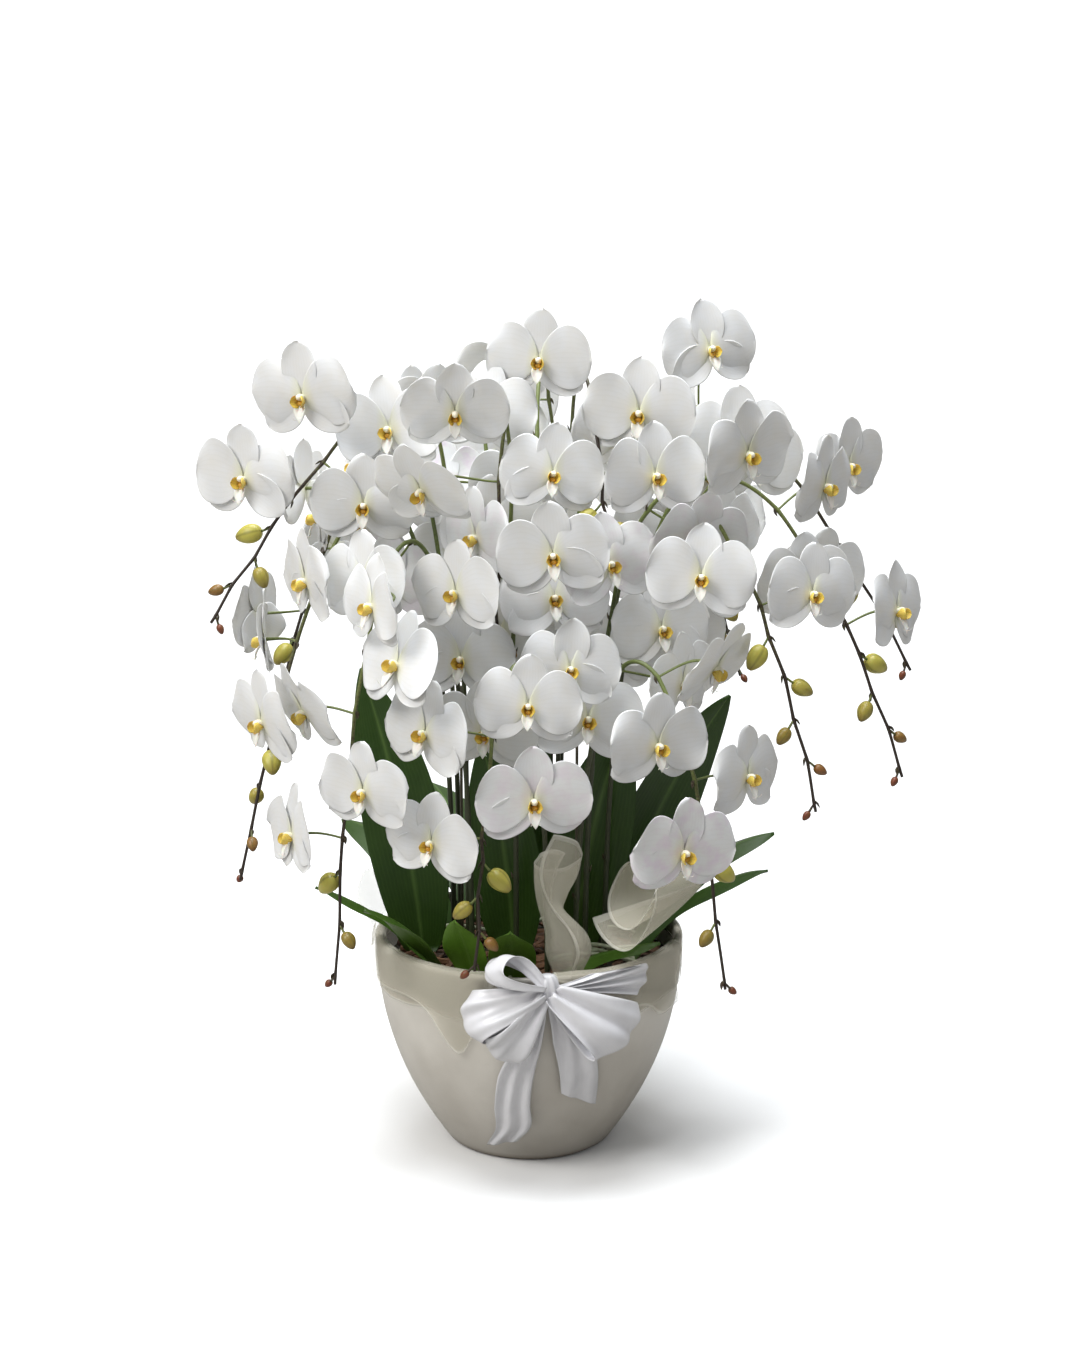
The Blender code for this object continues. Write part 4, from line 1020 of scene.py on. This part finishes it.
def leaf_material(settings):
    """Moth orchid leaf, thick and leathery with a wax gloss: dark green, lighter along the midrib and on
    young leaves, with fine veins that run its length. The third tone is how young it is."""
    made, tree = finish("moth orchid leaf", 0.42, Specular_IOR_Level=0.38, Coat_Weight=0.06,
                        Coat_Roughness=0.30)
    _, across, young = read_tone(tree)
    cloud = add(tree, "TexNoise", {"Vector": read_place(tree), "Scale": 28.0, "Detail": 4.0})
    fresh = add(tree, "Mix", {0: cloud, 6: "#3C6212", 7: "#668A2A"}, **COLOURS)
    off = add(tree, "Math", {0: across}, operation="ABSOLUTE")
    rib = add(tree, "MapRange", {0: off, 1: 0.10, 2: 0.0, 3: 0.0, 4: 0.35})
    lines = add(tree, "Math", {0: across, 1: 60.0}, **TIMES)
    vein = add(tree, "Math", {0: add(tree, "Math", {0: cloud, 1: 5.0, 2: lines}, **TIMES_PLUS)}, **SINE)
    faint = add(tree, "MapRange", {0: vein, 1: 0.2, 2: 1.0, 3: 0.0, 4: 0.07})
    gloss = add(tree, "MapRange", {0: cloud, 1: 0.3, 2: 0.7, 3: 0.36, 4: 0.50})
    coats = [(cloud, "#2E4A0A"), (young, fresh), (rib, "#6C8A45"), (faint, "#5C7A3B")]
    return dress(made, settings.leaf_colour, coats, vein, 0.08, 0.0004, Roughness=gloss)


def glaze_material(settings):
    """Glazed stoneware, dipped and fired: a warm off-white satin glaze that pools unevenly, so its gloss and
    tint drift over the wall, with tiny pinholes and a thinner, browner edge at the foot."""
    made, tree = finish("satin glazed stoneware", 0.36, Coat_Weight=0.15, Coat_Roughness=0.30)
    place = read_place(tree)
    drift = add(tree, "TexNoise", {"Vector": place, "Scale": 9.0, "Detail": 4.0})
    grain = add(tree, "TexNoise", {"Vector": place, "Scale": 320.0, "Detail": 2.0})
    tint = add(tree, "MapRange", {0: drift, 1: 0.35, 2: 0.68})
    height = add(tree, "SeparateXYZ", {0: place}, out=2)
    low = add(tree, "Math", {0: drift, 1: 0.010, 2: height}, **TIMES_PLUS)
    foot = add(tree, "MapRange", {0: low, 1: 0.006, 2: 0.013, 3: 0.65, 4: 0.0})
    pin = add(tree, "TexVoronoi", {"Vector": place, "Scale": 210.0})
    hole = add(tree, "MapRange", {0: pin, 1: 0.10, 2: 0.05, 3: 0.0, 4: 0.30})
    gloss = add(tree, "MapRange", {0: drift, 1: 0.3, 2: 0.7, 3: 0.30, 4: 0.44})
    coats = [(tint, "#BDB7AD"), (foot, "#8F7D69"), (hole, "#9C9186")]
    return dress(made, settings.glaze_colour, coats, grain, 0.08, 0.0006, Roughness=gloss)


def ground_material(name, low, high, scale, roughness):
    """Moss, bark or root: two colours in patches of 1 / scale metres over a rough skin."""
    made, tree = finish(name, roughness)
    noise = {"Vector": read_place(tree), "Scale": scale, "Detail": 6.0, "Roughness": 0.65}
    patch = add(tree, "TexNoise", noise)
    mixed = add(tree, "Math", {0: read_tone(tree)[0], 1: 0.45, 2: patch}, **TIMES_PLUS)
    share = add(tree, "MapRange", {0: mixed, 1: 0.42, 2: 0.95})
    return dress(made, low, [(share, high)], patch, 0.6, 0.0015)


def wire_material():
    """Painted steel wire, dipped in dark green-brown enamel: a low gloss with small runs."""
    made, tree = finish("enamelled steel wire", 0.38)
    runs = add(tree, "TexNoise", {"Vector": read_place(tree), "Scale": 600.0, "Detail": 2.0})
    return dress(made, "#3A3427", [(runs, "#57503C")], runs, 0.2, 0.0003)


def net_material(settings):
    """Non-woven florist's net, laid fibres pressed to a limp sheet: cream grey and mostly see-through, with
    fine crossing fibres about 1.5 mm apart, drawn coarser than they are so that they show. Its edges are
    lighter: partly where the net lies doubled at its hem, partly a painted highlight along the edge."""
    made, tree = finish("non-woven net", 0.85, Alpha=settings.net_alpha, Sheen_Weight=0.15,
                        Sheen_Roughness=0.5)
    along, across, _ = read_tone(tree)
    # A band round the sheet's edges, 3 per cent deep down it and 1.8 per cent across, painted lighter: partly
    # the doubled hem's own tone, partly a painted highlight along the edge
    down = add(tree, "Math", {0: along, 1: 0.5, 2: 0.47}, operation="COMPARE")
    beside = add(tree, "Math", {0: across, 1: 0.5, 2: 0.482}, operation="COMPARE")
    inner = add(tree, "Math", {0: down, 1: beside}, **TIMES)
    hem = add(tree, "MapRange", {0: inner, 1: 0.0, 2: 1.0, 3: 0.7, 4: 0.0})
    place = read_place(tree)
    turned = add(tree, "Mapping", {0: place, "Rotation": (0.4, 0.3, 0.7), "Scale": (1.0, 1.0, 0.35)})
    fibre = add(tree, "TexNoise", {"Vector": turned, "Scale": 1500.0, "Detail": 2.0, "Distortion": 1.2})
    cloud = add(tree, "TexNoise", {"Vector": place, "Scale": 40.0, "Detail": 3.0})
    share = add(tree, "MapRange", {0: fibre, 1: 0.38, 2: 0.62})
    coats = [(share, settings.net_colour), (cloud, "#CFC9B8"), (hem, "#F3F0E4")]
    return dress(made, "#C8C3B0", coats, fibre, 0.22, 0.0003)


def satin_material(settings):
    """Polyester satin ribbon, woven with long floats: cool white with a soft gloss along its folds and
    threads about 0.8 mm apart, drawn coarser than they are so that they show."""
    made, tree = finish("polyester satin", 0.24, Alpha=0.90, Sheen_Weight=0.20, Sheen_Roughness=0.4,
                        Anisotropic=0.4)
    across = read_tone(tree)[1]
    thread = add(tree, "Math", {0: add(tree, "Math", {0: across, 1: 260.0}, **TIMES)}, **SINE)
    cloud = add(tree, "TexNoise", {"Vector": read_place(tree), "Scale": 60.0, "Detail": 2.0})
    faint = add(tree, "MapRange", {0: thread, 1: -1.0, 2: 1.0, 3: 0.0, 4: 0.10})
    return dress(made, settings.satin_colour, [(cloud, "#DDDCDF"), (faint, "#BDBBC1")], thread, 0.06, 0.0003)


def board_material():
    """Matt painted board for the floor and the backdrop: near white with a faint grain to the eye, and grey
    in the light that it throws back, so that the undersides of the object stay dark."""
    made, tree = finish("matt white board", 0.85)
    grain = add(tree, "TexNoise", {"Vector": read_place(tree), "Scale": 6.0, "Detail": 3.0})
    white = add(tree, "Mix", {0: grain, 6: "#F6F6F6", 7: "#FAFAFA"}, **COLOURS)
    return dress(made, "#A09E9A", [(add(tree, "LightPath", out="Is Camera Ray"), white)])


# ---- what a user may change ----
def size(name, description, default, low, high):
    """A length in metres."""
    return FloatProperty(name=name, description=description, unit="LENGTH", default=default, min=low,
                         max=high)


def colour(name, code):
    """A colour, as its sRGB hex code."""
    return StringProperty(name=name, description="sRGB hex code", default=code)


class OrchidPlantSettings(bpy.types.PropertyGroup):
    """Sizes and colours of the flowers, stems and leaves."""

    petal_length: size("Petal length", "From the flower's middle to a petal's tip", 0.051, 0.03, 0.07)
    petal_width: size("Petal width", "Across a broad petal", 0.062, 0.03, 0.08)
    stalk_radius: size("Stalk radius", "Of the stalk behind each flower", 0.0013, 0.0006, 0.003)
    stem_radius: size("Stem radius", "Of each spray's stem at its foot", 0.0028, 0.001, 0.005)
    leaf_thickness: size("Leaf thickness", "Of a leaf beside its midrib", 0.0022, 0.001, 0.004)
    petal_colour: colour("Petal colour", "#E4E6EA")
    lip_colour: colour("Lip colour", "#E2C85C")
    leaf_colour: colour("Leaf colour", "#1E3806")


class OrchidDressSettings(bpy.types.PropertyGroup):
    """Sizes and colours of the pot, the net wrap and the bow."""

    net_thickness: size("Net thickness", "Of the florist's net", 0.0004, 0.0001, 0.002)
    ribbon_thickness: size("Ribbon thickness", "Of the satin ribbon", 0.0004, 0.0001, 0.002)
    net_alpha: FloatProperty(name="Net cover", description="How much of what is behind it the net hides",
                             default=0.32, min=0.1, max=1.0, subtype="FACTOR")
    glaze_colour: colour("Glaze colour", "#D8D3CA")
    net_colour: colour("Net colour", "#E2DDCC")
    satin_colour: colour("Satin colour", "#F2F1F4")


class OrchidStageSettings(bpy.types.PropertyGroup):
    """The camera and the lights."""

    distance: size("Camera distance", "From the pot's axis", 2.05, 0.5, 20.0)
    height: size("Camera height", "Above the floor", 0.869, 0.0, 5.0)
    pitch: FloatProperty(name="Camera pitch", description="Below level", default=math.radians(11.1),
                         subtype="ANGLE")
    lens: FloatProperty(name="Lens", description="Focal length in millimetres", default=57.33, min=10)
    key_power: FloatProperty(name="Key light", description="Watts of the soft key", default=125.0, min=0)
    wash_power: FloatProperty(name="Backdrop light", description="Watts on the backdrop", default=48.0, min=0)
    sky: FloatProperty(name="Sky", description="Strength of the light from all round", default=0.36, min=0)


SETTINGS = {
    "orchid_plant": OrchidPlantSettings,
    "orchid_dress": OrchidDressSettings,
    "orchid_stage": OrchidStageSettings,
}


def own(piece, slot, *nodes):
    """The piece rides on the body and stands for these nodes, whose own solids it hides. slot is not used."""
    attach(piece, "root")
    if nodes:
        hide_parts(*nodes)
    return piece


# ---- operators ----
class ORCHID_OT_pot(bpy.types.Operator):
    """Turn the glazed pot"""

    bl_idname = "orchid.pot"
    bl_label = "Pot"

    def execute(self, context):
        look = glaze_material(context.scene.orchid_dress)
        own(build("glazed_pot", [pot_skin()], [look]), "white_glaze", "pot")
        return {"FINISHED"}


class ORCHID_OT_medium(bpy.types.Operator):
    """Fill the pot with moss, bark chips and roots"""

    bl_idname = "orchid.medium"
    bl_label = "Growing medium"

    def execute(self, context):
        looks = [
            ground_material("dried sphagnum moss", "#1C1A10", "#4A4326", 120.0, 0.95),
            ground_material("pine bark chips", "#2A1C12", "#6B4A30", 160.0, 0.85),
            ground_material("orchid air root", "#6F7A5C", "#A9AD93", 200.0, 0.6),
        ]
        bed = build("bark_and_moss", medium_skins(np.random.default_rng(5)), looks, False)
        own(bed, "bark", "growing_medium")
        return {"FINISHED"}


class ORCHID_OT_sprays(bpy.types.Operator):
    """Grow the flower sprays, each with its stem, stalks, flowers and buds"""

    bl_idname = "orchid.sprays"
    bl_label = "Flower sprays"

    def execute(self, context):
        settings = context.scene.orchid_plant
        looks = [petal_material(settings), lip_material(settings), stem_material(), bud_material()]
        stems = {number: rachis(spike) for number, spike in SPIKES.items()}
        leaves = np.concatenate([leaf_grid(n, 21, 7).reshape(-1, 3) for n in LEAVES])
        lines = {number: rachis(spike, 160) for number, spike in SPIKES.items()}
        solids = {n: np.concatenate([leaves] + [line for k, line in lines.items() if k != n]) for n in SPIKES}
        wanted = [flower for number, stem in stems.items() for flower in wanted_flowers(number, stem)]
        flowers = settled(wanted, solids)
        for number, stem in stems.items():
            rng = np.random.default_rng(100 + number)
            own_flowers = [flower for flower in flowers if flower["spike"] == number]
            skins = flower_skins(own_flowers, settings, rng) + stalk_skins(own_flowers, settings)
            skins += stem_skins(number, rachis(SPIKES[number], 240), settings) + bud_skins(number, stem)
            own(build(f"spray_{number:02d}", skins, looks), "petal", f"spike_{number:02d}")
        return {"FINISHED"}


class ORCHID_OT_leaves(bpy.types.Operator):
    """Grow the leaves"""

    bl_idname = "orchid.leaves"
    bl_label = "Leaves"

    def execute(self, context):
        settings = context.scene.orchid_plant
        look = leaf_material(settings)
        for number in LEAVES:
            blade = build(f"grown_leaf_{number:02d}", [leaf_skin(number, settings.leaf_thickness)], [look])
            own(blade, "leaf_green", f"leaf_{number:02d}")
        return {"FINISHED"}


class ORCHID_OT_stakes(bpy.types.Operator):
    """Stand the wire stakes beside the stems"""

    bl_idname = "orchid.stakes"
    bl_label = "Stakes"

    def execute(self, context):
        names = sorted(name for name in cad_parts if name.startswith("stake_"))
        piece = build("wire_stakes", stake_skins([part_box(name) for name in names]), [wire_material()])
        own(piece, "wire", *names)
        return {"FINISHED"}


class ORCHID_OT_wrap(bpy.types.Operator):
    """Fold the net over the rim and stand its curls in the pot"""

    bl_idname = "orchid.wrap"
    bl_label = "Net wrap"

    def execute(self, context):
        settings = context.scene.orchid_dress
        look = net_material(settings)
        pieces = [
            ("net_over_rim", collar_grid(), "wrap_collar", (0.96, 0.072), "draped", ["glazed_pot"]),
            ("net_corner_flap", flap_grid(), "wrap_flap", (0.23, 0.075), "draped", ["net_over_rim"]),
            ("net_pleats", pleats_grid(), "wrap_pleats", (0.18, 0.085), "gathered", ["net_over_rim"]),
            ("net_flare", flare_grid(), "wrap_flare", (0.105, 0.050), "draped", ["net_over_rim"]),
            ("net_upright_curl", curl_grid(), "net_curl", (0.090, 0.14), "gathered", ["bark_and_moss"]),
            ("net_rolled_corner", cornet_grid(), "net_cornet", (0.17, 0.09), "gathered", ["net_over_rim"]),
        ]
        for name, grid, node, flat, held, under in pieces:
            piece = own(cloth(name, grid, look, settings.net_thickness), "net", node)
        return {"FINISHED"}


class ORCHID_OT_bow(bpy.types.Operator):
    """Tie the satin bow at the front of the rim"""

    bl_idname = "orchid.bow"
    bl_label = "Bow"

    def execute(self, context):
        settings = context.scene.orchid_dress
        look = satin_material(settings)
        own(build("satin_knot", [knot_skin()], [look]), "satin", "bow_knot")
        left = [(4, 0.196), (0, 0.15), (-4.5, 0.112), (-6.5, 0.078), (-7, 0.050), (-14, 0.027)]
        right = [(9, 0.196), (15, 0.155), (19, 0.115), (21.5, 0.080)]
        off = 2.6 * WRAP_LAYER
        pieces = [
            ("satin_loop_right", ribbon_loop(-40, 0.092, 0.066, 0.026, 16, 2.0, 0.024, 0.4), (0.058, 0.18)),
            ("satin_loop_left", ribbon_loop(207, 0.078, 0.050, 0.024, -24, 2.0, 0.022, 1.3), (0.046, 0.15)),
            ("satin_loop_lower", ribbon_loop(238, 0.082, 0.042, 0.024, 20, 1.5, 0.021, 2.6), (0.040, 0.16)),
            ("satin_loop_upper", ribbon_loop(153, 0.054, 0.036, 0.026, 46, 1.0, 0.023, 0.2), (0.034, 0.11)),
            ("satin_fan", fan_grid(), (0.046, 0.092)),
            ("satin_tail_left", ribbon_tail(left, 0.032, off, 0.6, 0.006), (0.036, 0.19)),
            ("satin_tail_right", ribbon_tail(right, 0.038, off, 2.1, -0.010), (0.036, 0.14)),
        ]
        for name, grid, flat in pieces:
            node = name.replace("satin", "bow")
            nodes = [node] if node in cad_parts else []  # the lower loop has no solid of its own
            piece = own(cloth(name, grid, look, settings.ribbon_thickness), "satin", *nodes)
        return {"FINISHED"}


class ORCHID_OT_stage(bpy.types.Operator):
    """Set the floor, the lights and the camera"""

    bl_idname = "orchid.stage"
    bl_label = "Stage"

    def execute(self, context):
        settings = context.scene.orchid_stage
        y = np.linspace(-FLOOR_REACH, 2 * COVE, 90)
        z = COVE - np.sqrt(np.clip(COVE**2 - np.clip(y - COVE, 0, None) ** 2, 0, None))
        y, z = np.concatenate([y, [2 * COVE]]), np.concatenate([z, [BACKDROP_HEIGHT]])
        x = np.linspace(-FLOOR_REACH, FLOOR_REACH, 2)
        floor = spread(x[None], y[:, None], z[:, None] - 0.0005)[:, ::-1]
        build("floor_and_backdrop", [skin(floor[None], closed=False)], [board_material()])
        world = bpy.data.worlds.new("soft sky")
        world.use_nodes = True
        background = world.node_tree.nodes["Background"]
        background.inputs[0].default_value = (0.96, 0.98, 1.0, 1.0)
        background.inputs[1].default_value = settings.sky
        context.scene.world = world
        top_power = settings.key_power * 0.9
        lights = [
            ("key softbox", (-2.7, -2.2, 3.2), (0, 0, 0.4), 2.2, settings.key_power, (1.0, 0.985, 0.955)),
            ("top softbox", (-0.1, -0.1, 2.9), (0, 0, 0.4), 1.7, top_power, (0.93, 0.965, 1.0)),
            ("backdrop wash", (0.0, 1.3, 3.6), (0, 3.2, 0.6), 2.0, settings.wash_power, (1.0, 1.0, 1.0)),
        ]
        for name, at, aim, size, power, colour in lights:
            lamp = bpy.data.lights.new(name, "AREA")
            lamp.size, lamp.energy, lamp.color = size, power, colour
            holder = bpy.data.objects.new(name, lamp)
            holder.location = at
            way = np.array(aim) - np.array(at)
            flat = math.hypot(way[0], way[1])
            holder.rotation_euler = (math.atan2(flat, -way[2]), 0, math.atan2(-way[0], way[1]))
            context.scene.collection.objects.link(holder)
        lens = bpy.data.cameras.new("camera")
        lens.lens = settings.lens
        camera = bpy.data.objects.new("camera", lens)
        camera.location = (0.011, -settings.distance, settings.height)
        camera.rotation_euler = (math.pi / 2 - settings.pitch, 0, 0)
        context.scene.collection.objects.link(camera)
        context.scene.camera = camera
        context.scene.view_settings.view_transform = "Standard"
        return {"FINISHED"}


OPERATORS = [
    ORCHID_OT_pot, ORCHID_OT_medium, ORCHID_OT_sprays, ORCHID_OT_leaves, ORCHID_OT_stakes, ORCHID_OT_wrap,
    ORCHID_OT_bow, ORCHID_OT_stage,
]


class ORCHID_PT_panel(bpy.types.Panel):
    """The pieces of the potted orchid, in the order in which they are made"""

    bl_label = "Potted Orchid"
    bl_idname = "ORCHID_PT_panel"
    bl_space_type = "VIEW_3D"
    bl_region_type = "UI"
    bl_category = "Orchid"

    def draw(self, context):
        for operator in OPERATORS:
            self.layout.operator(operator.bl_idname)
        for name, group in SETTINGS.items():
            box = self.layout.box()
            for key in group.__annotations__:
                box.prop(getattr(context.scene, name), key)


def register():
    for made in [*SETTINGS.values(), *OPERATORS, ORCHID_PT_panel]:
        bpy.utils.register_class(made)
    for name, group in SETTINGS.items():
        setattr(bpy.types.Scene, name, PointerProperty(type=group))


def unregister():
    for name in SETTINGS:
        delattr(bpy.types.Scene, name)
    for made in [ORCHID_PT_panel, *reversed(OPERATORS), *SETTINGS.values()]:
        bpy.utils.unregister_class(made)


def main():
    register()
    for operator in OPERATORS:
        group, name = operator.bl_idname.split(".")
        getattr(getattr(bpy.ops, group), name)()


if __name__ == "__main__":
    main()
